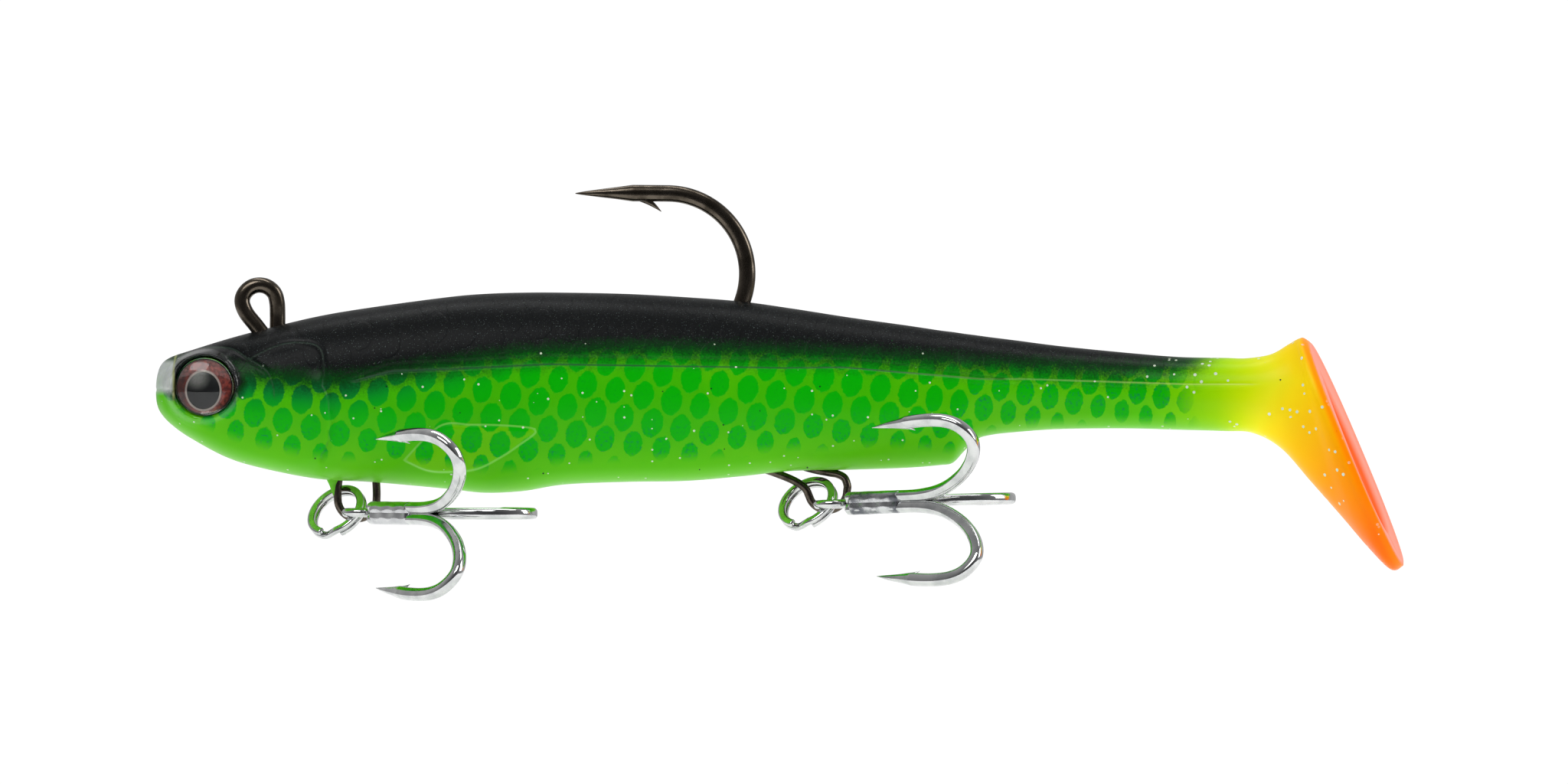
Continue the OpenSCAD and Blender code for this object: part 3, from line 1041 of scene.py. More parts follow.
@dataclass
class Markings:
    """Where the sprayed back, the belly and the moulded lines run on the flank.

    Attributes:
        black_edge: station and height of the sprayed back's lower edge.
        lateral: station and height of the lateral line.
        band: station and height above that line of the band's upper edge.
        cheek: fold behind the eye.
        gill_cover: raised rim of the gill cover.
        opercle: step at the rear of the gill cover.
        fin: outline of the pectoral fin.
        yellow: station where the tail's yellow starts.
        eye_paint: outer radius of the black paint round the eye.
        band_depth: depth of the band above the lateral line.
        bead_height: height of the bead under that line.
        stem_line_depth: depth of the line where it runs on along the stem.
        cheek_depth: depth of the fold behind the eye.
        cover_height: height of the gill cover's rim.
        step_height: height of the step at the gill cover's rear.
        step_groove: depth of the groove ahead of that step.
        fin_height: height of the pectoral fin.
    """

    black_edge: tuple[tuple[float, float], ...] = (
        (-16, -8.6), (-12, -8.4), (-5, -9.6), (3, -10.6), (12, -11.2), (26, -9.2), (40, -7.2), (60, -6.4), (90, -7.4),
        (115, -8.9), (131, -9.7), (138, -9.3), (144, -8.0), (150, -5.0), (180, -3.0))
    lateral: tuple[tuple[float, float], ...] = (
        (13.8, -11.9), (14.9, -11.9), (20.8, -10.5), (30.4, -10.15), (44.1, -9.45), (79.9, -10.0), (88.8, -9.9),
        (109.8, -11.66), (115.6, -11.66), (142.3, -12.48), (153, -12.48))
    band: tuple[tuple[float, float], ...] = ((13.8, 0.0), (19, 1.2), (28, 1.35), (96, 1.35), (114, 0.0), (200, 0.0))
    cheek: tuple[tuple[float, float], ...] = (
        (-9.5, -6.9), (-4.3, -7.0), (-1.5, -8.5), (1.5, -10.4), (2.45, -12.5), (2.7, -14.2))
    gill_cover: tuple[tuple[float, float], ...] = (
        (-1.0, -8.6), (2.1, -7.0), (5.1, -6.2), (8.5, -6.4), (9.9, -7.6), (10.26, -10.6), (10.0, -12.5))
    opercle: tuple[tuple[float, float], ...] = (
        (9.9, -12.6), (10.7, -14.0), (11.14, -18.0), (10.85, -21.0), (9.6, -23.6))
    fin: tuple[tuple[float, float], ...] = (
        (22.3, -24.0), (27.8, -18.8), (32.5, -18.6), (37.4, -18.7), (41.6, -19.1), (42.3, -19.8), (40.2, -21.4),
        (37.4, -23.3), (33.5, -25.3), (29.5, -25.8), (25.8, -25.6))
    yellow: float = 147.0
    eye_paint: float = 5.9
    band_depth: float = 0.30
    bead_height: float = 0.10
    stem_line_depth: float = 0.12
    cheek_depth: float = 0.22
    cover_height: float = 0.20
    step_height: float = 0.42
    step_groove: float = 0.16
    fin_height: float = 0.42

    @staticmethod
    def flowing(line: tuple[tuple[float, float], ...]) -> list[tuple[float, float]]:
        """The same line with its corners rounded."""
        points = smooth_path([(x, 0.0, z) for x, z in line], 0.6)
        return [(float(p[0]), float(p[2])) for p in points]

    def creases(self, x: Array, z: Array) -> tuple[Array, Array, Array]:
        """Measures points against the moulded lines.

        Args:
            x: stations.
            z: heights.

        Returns:
            Height above the lateral line, distance to the head's folds, and distance inside the fin.
        """
        over_line = z - np.interp(x, *np.array(self.lateral).T)
        curves = (self.flowing(self.cheek), self.flowing(self.gill_cover), self.flowing(self.opercle))
        folds = np.minimum.reduce([polyline_distance(x, z, c) for c in curves])
        loop = self.flowing(self.fin + (self.fin[0],))
        inner = polyline_distance(x, z, loop) * np.where(inside(x, z, loop[:-1]), 1, -1)
        return over_line, folds, inner

    def relief(self, x: Array, z: Array) -> Array:
        """Height of the moulded detail above the plain flank.

        Args:
            x: stations.
            z: heights.

        Returns:
            Outward height of each point.
        """
        over_line, _, fin = self.creases(x, z)
        width = np.interp(x, *np.array(self.band).T)
        along = ease((x - 13.5) / 2.0)
        middle = np.clip(1 - np.abs(over_line - width / 2) / (width / 2 + 0.25), 0, 1)
        raised = -self.band_depth * ease(middle * 2.2) * along * (width > 0.05)
        raised += self.bead_height * np.exp(-((over_line + 0.35) / 0.3) ** 2) * along * (x < 152)
        raised += -self.stem_line_depth * np.exp(-(over_line / 0.22) ** 2) * along * (x > 112) * (x < 152)
        fold = polyline_distance(x, z, self.flowing(self.cheek))
        raised += -self.cheek_depth * np.exp(-(fold / 0.34) ** 2)
        rim = polyline_distance(x, z, self.flowing(self.gill_cover))
        raised += self.cover_height * np.exp(-(rim / 0.38) ** 2)
        edge = polyline_distance(x, z, self.flowing(self.opercle))
        station, height = np.array(self.opercle[::-1]).T
        behind = np.interp(z, height, station) - x
        step = np.where(behind > 0, np.exp(-(behind / 2.4) ** 2), 0) * ease((z + 25.5) / 2.5) * ease((-10.0 - z) / 2.5)
        groove = np.exp(-((edge - 0.3) / 0.4) ** 2)
        raised += self.step_height * step - self.step_groove * groove * (behind < 0)
        raised += self.fin_height * ease((fin + 0.15) / 0.75) * (1 - 0.35 * ease((x - 34) / 10))
        return raised

    def stamp(self, piece: bpy.types.Object, rest: Array, belly: Array, rear: Array, groove: Array, rim: Array) -> None:
        """Writes what the soft plastic's material reads onto a mesh.

        Args:
            piece: the mesh object.
            rest: its points before the tail is set to one side.
            belly: height of the belly under each point.
            rear: 1 on the paddle's rear face, where a pale sheen is painted.
            groove: 1 in the groove down that face, where shade is painted.
            rim: 1 along the paddle's rear edge, where shade is painted.
        """
        x, z = rest[:, 0], rest[:, 2]
        below = np.interp(x, *np.array(self.black_edge).T) - z
        eye_x, eye_z = middle_of("left_eye_foil")
        away = np.hypot(x - eye_x, z - eye_z)
        below = np.minimum(below, 2.2 * (away - self.eye_paint) + 1.5 * np.maximum(0, eye_z + 0.5 - z))
        aft = x - self.yellow + 0.55 * np.abs(z + 12) * ease((x - self.yellow + 2) / 9)
        over_line, folds, fin = self.creases(x, z)
        for name, columns in (("rest", (x, rest[:, 1], z)), ("marks", (below, z - belly, aft)),
                              ("creases", (over_line, folds, fin)), ("tail_face", (rear, groove, rim))):
            data = piece.data.attributes.new(name, "FLOAT_VECTOR", "POINT")
            data.data.foreach_set("vector", np.stack(columns, 1).astype(np.float32).ravel())


@dataclass
class SoftBody:
    """Body, stem and paddle as one continuous skin of soft plastic.

    Attributes:
        sections: station, back, belly and half width of each upright section.
        paddle: top station, top, bottom station, bottom and half width of each slanted one.
        squareness: power of the sections' superellipse.
        around: points round a section.
        bend: where the stem's sideways set starts and ends.
        tail_set: sideways set of the tail in degrees.
        socket: radius of an eye socket.
        socket_floor: its floor's distance from the middle.
        face_rings: rings that fill the paddle's rear face.
        groove_depth: depth of the groove down that face.
        groove_run: where the groove starts down that face and how long it is, as shares of its height.
        groove_width: what sets the groove's width.
        hollow: depth of the shallow hollow over the whole face.
        face_rim: height of the rim round the face.
        mouth: height and depth of the mouth line.
        nose_fold: station and depth of the fold behind the flat on the snout.
        spacing: station, and the distance between sections there.
        marks: the lines and paint edges on the flank.
    """

    sections: tuple[tuple[float, float, float, float], ...] = (
        (-15.75, -13.4, -13.9, 0.5), (-15.55, -11.2, -15.6, 3.0), (-14.9, -9.4, -17.0, 4.9), (-13.4, -8.3, -18.6, 6.3),
        (-10.6, -7.35, -20.6, 7.4), (-5, -5.6, -23.6, 8.5), (0.6, -4.1, -25.3, 9.2), (9, -2.1, -26.9, 9.7),
        (17.4, -0.7, -27.4, 10), (28.6, 0.8, -28.4, 10), (34.2, 1.3, -29, 10), (40.1, 1.5, -28.75, 9.9),
        (46.5, 1.5, -27.75, 9.7), (56, 1.3, -27.35, 9.3), (65, 0.8, -27.2, 9), (73.4, 0.15, -26.5, 8.6),
        (81, -0.9, -25.7, 8.2), (90, -2.3, -25.5, 7.6), (98.6, -3.5, -25.2, 7), (103.6, -4.25, -24.8, 6.6),
        (105.6, -4.5, -24.45, 6.5), (107.3, -4.75, -22.7, 6.4), (109.2, -5.0, -20.9, 6.25), (111.4, -5.3, -20.2, 6.1),
        (115.4, -5.8, -19.75, 5.88), (122, -6.65, -19.3, 5.57), (132, -7.65, -19.2, 5.3), (140, -8.3, -19.4, 5.3),
        (147, -8.45, -19.6, 5.3))
    paddle: tuple[tuple[float, float, float, float, float], ...] = (
        (150.5, -8.5, 151.5, -19.9, 5.3), (154.2, -7.9, 155.9, -22.3, 5.46), (156.9, -6.4, 160.4, -27.3, 5.94),
        (158.1, -5.7, 165.3, -32.8, 7.02), (158.6, -5.5, 169.3, -37.4, 8.55), (159.1, -5.4, 172.6, -40.6, 9.0),
        (159.9, -5.9, 174.3, -40, 8.73))
    squareness: float = 2.25
    around: int = 264
    bend: tuple[float, float] = (117.0, 147.0)
    tail_set: float = 10.0
    socket: float = 4.42
    socket_floor: float = 6.64
    face_rings: int = 48
    groove_depth: float = 0.9
    groove_run: tuple[float, float] = (0.12, 0.73)
    groove_width: float = 13.4
    hollow: float = 0.12
    face_rim: float = 0.20
    mouth: tuple[float, float] = (-13.3, 0.28)
    nose_fold: tuple[float, float] = (-12.7, 0.22)
    spacing: tuple[tuple[float, float], ...] = (
        (-16, 0.2), (-3, 0.22), (6, 0.3), (16, 0.36), (45, 0.4), (60, 0.5), (145, 0.5), (155, 0.33))
    marks: Markings = field(default_factory=Markings)

    def rows(self) -> Array:
        """Spaces the sections finely at the head and paddle, more widely between.

        Returns:
            Top station, top, bottom station, bottom and half width of each.
        """
        upright = np.array([(x, t, x, b, w) for x, t, b, w in self.sections])
        control = np.concatenate([upright, np.array(self.paddle)])
        u = np.linspace(0, len(control) - 1, 9000)
        fine = spline(control, u)
        middle = (fine[:, :2] + fine[:, 2:4]) / 2
        run = np.linalg.norm(np.diff(middle, axis=0), axis=1)
        run = run + 0.5 * np.abs(np.diff(fine[:, 4])) + 0.4 * np.abs(np.diff(fine[:, 3]))
        step = np.interp(middle[1:, 0], *np.array(self.spacing).T)
        count = np.concatenate([[0], np.cumsum(run / step)])
        picks = np.interp(np.linspace(0, count[-1], int(count[-1])), count, u)
        return spline(control, picks)

    def grid(self) -> tuple[Array, Array]:
        """Points of the plain skin.

        Returns:
            The points as rings of points, and each section's row.
        """
        rows = self.rows()
        dense = np.linspace(0, 2 * np.pi, 1441)
        c, s = lobe(dense, self.squareness)
        rings = []
        for xt, zt, xb, zb, w in rows:
            x, z = (xt + xb) / 2, (zt + zb) / 2
            half = math.hypot(xt - xb, zt - zb) / 2
            run = np.concatenate([[0], np.cumsum(np.hypot(np.diff(s * w), np.diff(c * half)))])
            at = np.interp(np.linspace(0, run[-1], self.around, endpoint=False), run, dense)
            cc, ss = lobe(at, self.squareness)
            rings.append(np.stack([x + cc * (xt - xb) / 2, -ss * w, z + cc * (zt - zb) / 2], 1))
        return np.array(rings), rows

    @staticmethod
    def outward(grid: Array) -> Array:
        """Finds which way is out of the skin.

        Args:
            grid: rings of points.

        Returns:
            The outward direction at each point.
        """
        along = np.gradient(grid, axis=0)
        round_ = np.roll(grid, -1, axis=1) - np.roll(grid, 1, axis=1)
        out = np.cross(along, round_)
        out /= np.maximum(np.linalg.norm(out, axis=2), 1e-9)[..., None]
        middle = grid.mean(axis=1, keepdims=True)
        sign = np.sign(np.sum(out * (grid - middle), axis=2).mean())
        return out * sign

    def sink_eyes(self, grid: Array) -> None:
        """Opens a flat-floored socket with a raised lip on each flank of the head.

        Args:
            grid: rings of points, which it moves.
        """
        middle_x, middle_z = middle_of("left_eye_foil")
        x, y, z = grid[..., 0], grid[..., 1], grid[..., 2]
        off = np.hypot(x - middle_x, z - middle_z)
        surface = np.abs(y)
        brow = np.clip(((z - middle_z) * 0.8 - (x - middle_x) * 0.6) / 5, 0, 1)
        lip = np.maximum(surface + 0.18, self.socket_floor + 0.55 + 0.5 * brow)
        on_flank = ease((surface - 2.4) / 2.4)
        ring = (1 - ease((off - self.socket - 0.5) / 1.7)) * on_flank
        raised = surface + (lip - surface) * ring
        floor = 1 - ease((off - self.socket) / 0.36)
        off_lip = np.hypot(x - middle_x + LIP_AHEAD, z - middle_z)
        crest_h = 0.22 + 0.34 * np.clip((z - middle_z + 2.0) / 5, 0, 1)
        crest = np.exp(-((off_lip - self.socket - 0.62) / 0.34) ** 2) * crest_h
        raised = raised + crest * on_flank
        grid[..., 1] = np.sign(y) * (raised + (self.socket_floor - raised) * floor)

    def shape_snout(self, grid: Array) -> None:
        """Cuts the mouth line and the small flats on the tip of the nose.

        Args:
            grid: rings of points, which it moves.
        """
        x, z = grid[..., 0], grid[..., 2]
        near = ease((-8.6 - x) / 3.0)
        mouth = np.exp(-((z - self.mouth[0] + 0.05 * (x + 15)) / 0.26) ** 2) * near * ease((-11.2 - x) / 1.0)
        fold = np.exp(-((x - self.nose_fold[0]) / 0.3) ** 2) * ease((z + 15.5) / 1.5) * ease((-8.4 - z) / 0.8)
        middle = grid.mean(axis=1, keepdims=True)
        inward = middle - grid
        inward[..., 0] = 0.6
        inward /= np.linalg.norm(inward, axis=2)[..., None]
        grid += inward * (self.mouth[1] * mouth + self.nose_fold[1] * fold)[..., None]

    def rear_face(self, last: Array, row: Array) -> tuple[Array, Array, Array]:
        """Fills the paddle's rear face, hollowed and grooved down its middle.

        Args:
            last: the last ring of the skin.
            row: the section it was made from.

        Returns:
            Rings of points, the share of the rear face at each, and of the groove.
        """
        xt, zt, xb, zb, _ = row
        centre = np.array([(xt + xb) / 2, 0, (zt + zb) / 2])
        length = math.hypot(xt - xb, zt - zb)
        out = np.array([(zt - zb) / length, 0, (xb - xt) / length])
        rings, shares, grooves = [], [], []
        for k in range(1, self.face_rings + 1):
            share = 1 - k / self.face_rings
            ring = centre + (last - centre) * max(share, 0.004)
            down = (zt - ring[:, 2]) / (zt - zb)
            reach = ease((down - 0.10) / 0.2) * ease((0.95 - down) / 0.1)
            run = np.clip((down - self.groove_run[0]) / self.groove_run[1], 0, 1)
            half = 0.2 + self.groove_width * run**1.2 * (1 - run) ** 0.6
            cut = reach * np.exp(-np.abs(ring[:, 1] / half) ** 5.0)
            hollow = self.hollow * ease((1 - share) * 3.2) * np.exp(-((ring[:, 1]) / 5.5) ** 2)
            rim = self.face_rim * math.exp(-((share - 0.97) / 0.03) ** 2)
            rings.append(ring + out * (rim - hollow - self.groove_depth * cut)[:, None])
            shares.append(np.full(len(ring), min(1.0, (1 - share) * self.face_rings / 1.5)))
            grooves.append(ease(cut * 1.3))
        return np.array(rings), np.array(shares), np.array(grooves)

    def set_tail(self, points: Array) -> Array:
        """Bends the stem smoothly so that the tail lies set to one side.

        Args:
            points: points of the straight skin.

        Returns:
            The points as they lie at rest.
        """
        start, end = self.bend
        x = np.linspace(start, 185, 2721)
        turn = -math.radians(self.tail_set) * ease((x - start) / (end - start))
        step = x[1] - x[0]
        cx = start + np.concatenate([[0], np.cumsum(np.cos((turn[1:] + turn[:-1]) / 2)) * step])
        cy = np.concatenate([[0], np.cumsum(np.sin((turn[1:] + turn[:-1]) / 2)) * step])
        out = points.copy()
        aft = points[:, 0] > start
        px, py = points[aft, 0], points[aft, 1]
        angle = np.interp(px, x, turn)
        out[aft, 0] = np.interp(px, x, cx) - py * np.sin(angle)
        out[aft, 1] = np.interp(px, x, cy) + py * np.cos(angle)
        return out

    def build(self, materials: Materials) -> list[bpy.types.Object]:
        """Makes the skin, with the stem bent so that the tail lies set to one side.

        Args:
            materials: the shared finishes.

        Returns:
            The pieces made.
        """
        grid, rows = self.grid()
        out = self.outward(grid)
        flank = ease((np.abs(out[..., 1]) - 0.2) / 0.4)
        grid += out * (self.marks.relief(grid[..., 0], grid[..., 2]) * flank)[..., None]
        self.sink_eyes(grid)
        self.shape_snout(grid)
        cap, shares, grooves = self.rear_face(grid[-1], rows[-1])
        points = np.concatenate([grid, cap]).reshape(-1, 3)
        n = len(grid)
        belly = np.repeat(np.concatenate([rows[:, 3], np.full(len(cap), rows[-1, 3])]), self.around)
        rear = np.concatenate([np.zeros(n * self.around), shares.ravel()])
        groove = np.concatenate([np.zeros(n * self.around), grooves.ravel()])
        skin = make_object("soft_skin", self.set_tail(points), tube_faces(n + len(cap), self.around))
        last = grid[-1].mean(axis=0)
        lean = (rows[-1, 2] - rows[-1, 0]) / (rows[-1, 1] - rows[-1, 3])
        ahead = last[0] - lean * (points[:, 2] - last[2]) - points[:, 0]
        # Band along the paddle's rear edge, where the material paints a darker orange shade.
        rim = (1 - ease((np.abs(ahead) - 0.3) / 0.9)) * (points[:, 0] > 156)
        self.marks.stamp(skin, points, belly, rear, groove, rim)
        materials.dress(skin, Finish.SOFT)
        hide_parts("soft_body", "tail_stem", "tail_paddle")
        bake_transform(skin)
        return [skin, self.nub(materials)]

    def nub(self, materials: Materials) -> bpy.types.Object:
        """Makes the little run of plastic left where the front hanger leaves the belly.

        Args:
            materials: the shared finishes.

        Returns:
            The new object.
        """
        path = smooth_path([(11.3, 0, -25.6, 1.5), (11.3, 0, -26.8, 1.15), (11.35, 0, -27.8, 0.72),
                            (11.5, 0, -28.7, 0.55), (11.65, 0, -29.4, 0.4)], 0.1)
        piece = Wire(path[:, :3], path[:, 3], path[:, 3] * 0.8, (0, 1, 0)).build("belly_nub")
        rest = np.array([v.co for v in piece.data.vertices]) / MM
        zero = np.zeros(len(rest))
        self.marks.stamp(piece, rest, zero - 28.0, zero, zero, zero)
        materials.dress(piece, Finish.SOFT)
        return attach(piece, "lure")


@dataclass
class EyePair:
    """Printed eye discs under clear domes.

    Attributes:
        dome_r: radius of a dome's rim.
        dome_h: its height.
        rings: rings of a dome's mesh.
        gap: clearance between the disc and its dome.
    """

    dome_r: float = 4.4
    dome_h: float = 1.3
    rings: int = 18
    gap: float = 0.02

    def dome(self, side: Side, materials: Materials) -> bpy.types.Object:
        """Makes one lens-shaped dome just above its printed disc.

        Args:
            side: the flank.
            materials: the shared finishes.

        Returns:
            The dome.
        """
        name = f"{side.name.lower()}_eye_dome"
        low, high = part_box(name)
        x, z = middle_of(name)
        inner = min(abs(low.y), abs(high.y)) / MM + self.gap
        ball = (self.dome_r**2 + self.dome_h**2) / (2 * self.dome_h)
        a = np.linspace(0, 2 * np.pi, 72, endpoint=False)
        profile = [(self.dome_r * k / self.rings, 0.0) for k in range(1, self.rings + 1)]
        for k in range(self.rings - 1, 0, -1):
            r = self.dome_r * k / self.rings
            profile.append((r, math.sqrt(ball**2 - r**2) - ball + self.dome_h))
        rings = [np.stack([x + r * np.cos(a), side.value * (inner + h) + 0 * a, z + r * np.sin(a)], 1)
                 for r, h in profile]
        crown = inner + self.dome_h - 0.02
        poles = np.array([[x, side.value * inner, z], [x, side.value * crown, z]])
        points = np.concatenate(rings + [poles])
        faces = grid_faces(len(rings), len(a))
        last = len(points)
        for j in range(len(a)):
            k = (j + 1) % len(a)
            faces.append([last - 2, k, j])
            faces.append([last - 1, last - 2 - len(a) + j, last - 2 - len(a) + k])
        if side is Side.RIGHT:
            faces = [face[::-1] for face in faces]
        piece = make_object(f"{side.name.lower()}_clear_dome", points, faces)
        materials.dress(piece, Finish.RESIN)
        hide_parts(name)
        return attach(piece, "lure")

    def build(self, materials: Materials) -> list[bpy.types.Object]:
        """Dresses both printed discs and makes both domes.

        Args:
            materials: the shared finishes.

        Returns:
            The pieces made.
        """
        made = []
        for side in Side:
            made.append(self.dome(side, materials))
            materials.dress(frame["nodes"][f"{side.name.lower()}_eye_foil"], Finish.PRINT)
        return made


# ---- the metal -----------------------------------------------------------------------


@dataclass
class MainHook:
    """The single hook: a folded line-tie eye, the buried shank, the bend and the point.

    Attributes:
        wire: wire radius.
        eye_r: mean radius of the eye.
        shank: height of the shank.
        bend_r: mean radius of the bend.
        bend_x: station of the bend's centre.
        point: length from the bend's centre to the tip.
        taper: length of the sharpened part.
        barb: station, drop below the point and radius along the barb.
    """

    wire: float = 1.2
    eye_r: float = 2.64
    shank: float = -7.8
    bend_r: float = 12.2
    bend_x: float = 62.1
    point: float = 14.2
    taper: float = 9.0
    barb: tuple[tuple[float, float, float], ...] = (
        (56.6, 0.3, 0.5), (58.6, 0.9, 0.56), (60.0, 1.75, 0.36), (61.2, 2.75, 0.05))

    def centre_line(self) -> Array:
        """Draws the wire from the folded eye leg to the tip.

        Returns:
            Its centre line with its radius.
        """
        loop = [(2.2, -1.15, -8.2), (1.2, -1.15, -5.9), (-0.35, -1.0, -3.7), (-2.0, -0.7, -1.6)]
        for degrees in (175, 140, 105, 70, 35, 0):
            t = math.radians(degrees)
            loop.append((self.eye_r * math.cos(t), -0.5 + 0.9 * (175 - degrees) / 175, self.eye_r * math.sin(t)))
        loop += [(2.72, 0.6, -2.2), (2.75, 0.5, -4.2), (3.3, 0.3, -6.2), (5.2, 0.1, self.shank), (8, 0, self.shank)]
        head = smooth_path([p + (self.wire,) for p in loop], 0.22)
        run = np.arange(8.6, self.bend_x - 0.2, 1.2)
        straight = np.stack([run, 0 * run, 0 * run + self.shank, 0 * run + self.wire], 1)
        t = np.radians(np.arange(-90, 90, 1.5))
        top = self.shank + 2 * self.bend_r
        bend_x, bend_z = self.bend_x + self.bend_r * np.cos(t), self.shank + self.bend_r * (1 + np.sin(t))
        curve = np.stack([bend_x, 0 * t, bend_z, 0 * t + self.wire], 1)
        away = np.arange(0, self.point - 0.1, 0.15)
        sharp = np.clip((self.point - away) / self.taper, 0.03, 1) ** 0.8
        rise = 0.05 * np.sin(away / self.point * 3)
        tip = np.stack([self.bend_x - away, 0 * away, top + rise, self.wire * sharp], 1)
        return np.concatenate([head, straight, curve, tip])

    def build(self, materials: Materials) -> list[bpy.types.Object]:
        """Makes the hook, forged a little flat round its bend, and its barb.

        Args:
            materials: the shared finishes.

        Returns:
            The pieces made.
        """
        line = self.centre_line()
        bent = ease((line[:, 2] + 4) / 5) * ease((line[:, 0] - 44) / 6) * ease((line[:, 3] - 0.8) / 0.4)
        wide, thick = line[:, 3] * (1 + 0.06 * bent), line[:, 3] * (1 - 0.12 * bent)
        hook = Wire(line[:, :3], wide, thick, (0, 1, 0), 2.25, 36).build("main_hook")
        top = self.shank + 2 * self.bend_r
        spur = smooth_path([(x, 0, top - drop, radius) for x, drop, radius in self.barb], 0.12)
        thin = np.minimum(spur[:, 3], 0.42)
        barb = Wire(spur[:, :3], spur[:, 3], thin, (0, 1, 0), 2.6, 20).build("main_hook_barb")
        for piece in (hook, barb):
            materials.dress(piece, Finish.DARK_WIRE)
            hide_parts("jig_hook")
            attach(piece, "lure")
        return [hook, barb]


@dataclass
class Hanger:
    """A bent wire whose loop hangs below the belly.

    Attributes:
        rig: front or rear.
        wire: wire radius.
        loop_r: mean radius of the loop.
    """

    rig: Rig
    wire: float = 0.6
    loop_r: float = 2.95

    def path(self) -> list[tuple[float, float, float]]:
        """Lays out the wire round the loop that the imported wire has.

        Returns:
            Its control points.
        """
        loop_r = self.loop_r
        low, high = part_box(f"{self.rig.value}_hanger_wire")
        x = high.x / MM - self.wire - loop_r
        z = low.z / MM + self.wire + loop_r
        angles = [math.radians(degrees) for degrees in range(0, 181, 15)]
        turn = [(x - loop_r * math.cos(a), 0.0, z - loop_r * math.sin(a)) for a in angles]
        if self.rig is Rig.FRONT:
            ahead = [(x - loop_r + 0.5, 0, -22.0), (x - loop_r + 0.3, 0, -25.5), (x - loop_r, 0, -28.3)]
            behind = [(x + loop_r, 0, -28.3), (x + loop_r - 0.2, 0, -25.5), (x + loop_r - 0.6, 0, -22.0)]
            return ahead + turn + behind
        ahead = [(70.0, 0.5, -22.4), (74.6, 0.5, -24.6), (78.6, 0.4, -26.0), (81.5, 0.2, -27.2), (83.1, 0, -28.3)]
        behind = [(x + loop_r + 0.05, 0, -27.9), (x + loop_r - 0.4, 0, -26.75), (x + loop_r - 1.5, 0, -26.15),
                  (x + 0.1, 0, -25.9), (x - 3.4, 0, -25.1), (75.5, 0, -22.6), (71, 0, -20.5)]
        return ahead + turn[1:] + behind

    def build(self, materials: Materials) -> bpy.types.Object:
        """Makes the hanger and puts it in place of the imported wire.

        Args:
            materials: the shared finishes.

        Returns:
            The hanger.
        """
        node = f"{self.rig.value}_hanger_wire"
        line = smooth_path(self.path(), 0.12)
        piece = Wire(line, self.wire * 1.02, self.wire * 1.02, (0, 1, 0), 2.0, 24).build(f"{self.rig.value}_hanger")
        materials.dress(piece, Finish.DARK_WIRE)
        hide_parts(node)
        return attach(piece, "lure")


@dataclass
class SplitRing:
    """A split ring: flat-sided wire wound twice round, with two cut ends.

    Attributes:
        rig: front or rear.
        radius: mean radius.
        strand: half width and half height of the wire.
        layer: each layer's offset from the ring's middle plane.
        cut: angle of the first cut end in degrees.
        wound: how far the wire is wound round, in degrees.
        step_over: angle at which it starts to step to the other layer, and how long that takes.
    """

    rig: Rig
    radius: float = 4.2
    strand: tuple[float, float] = (0.6, 0.43)
    layer: float = 0.42
    cut: float = 150.0
    wound: float = 676.0
    step_over: tuple[float, float] = (318.0, 38.0)

    def build(self, materials: Materials) -> bpy.types.Object:
        """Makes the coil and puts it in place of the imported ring.

        Args:
            materials: the shared finishes.

        Returns:
            The coil.
        """
        node = f"{self.rig.value}_split_ring"
        centre, axis = joint_frame(f"{self.rig.value}_ring_slide")
        flat = np.cross(axis, (0, 1, 0))
        flat /= np.linalg.norm(flat)
        other = np.cross(axis, flat)
        t = np.arange(0, self.wound, 3.0)
        lift = self.layer * (2 * ease((t - self.step_over[0]) / self.step_over[1]) - 1)
        a = np.radians(t + self.cut)
        out = np.cos(a)[:, None] * flat + np.sin(a)[:, None] * other
        path = centre + self.radius * out + lift[:, None] * axis
        piece = Wire(path, self.strand[0], self.strand[1], tuple(axis), 2.8, 20).build(f"{self.rig.value}_ring_coil")
        materials.dress(piece, Finish.BRIGHT_WIRE)
        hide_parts(node)
        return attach(piece, f"{self.rig.value}_ring")


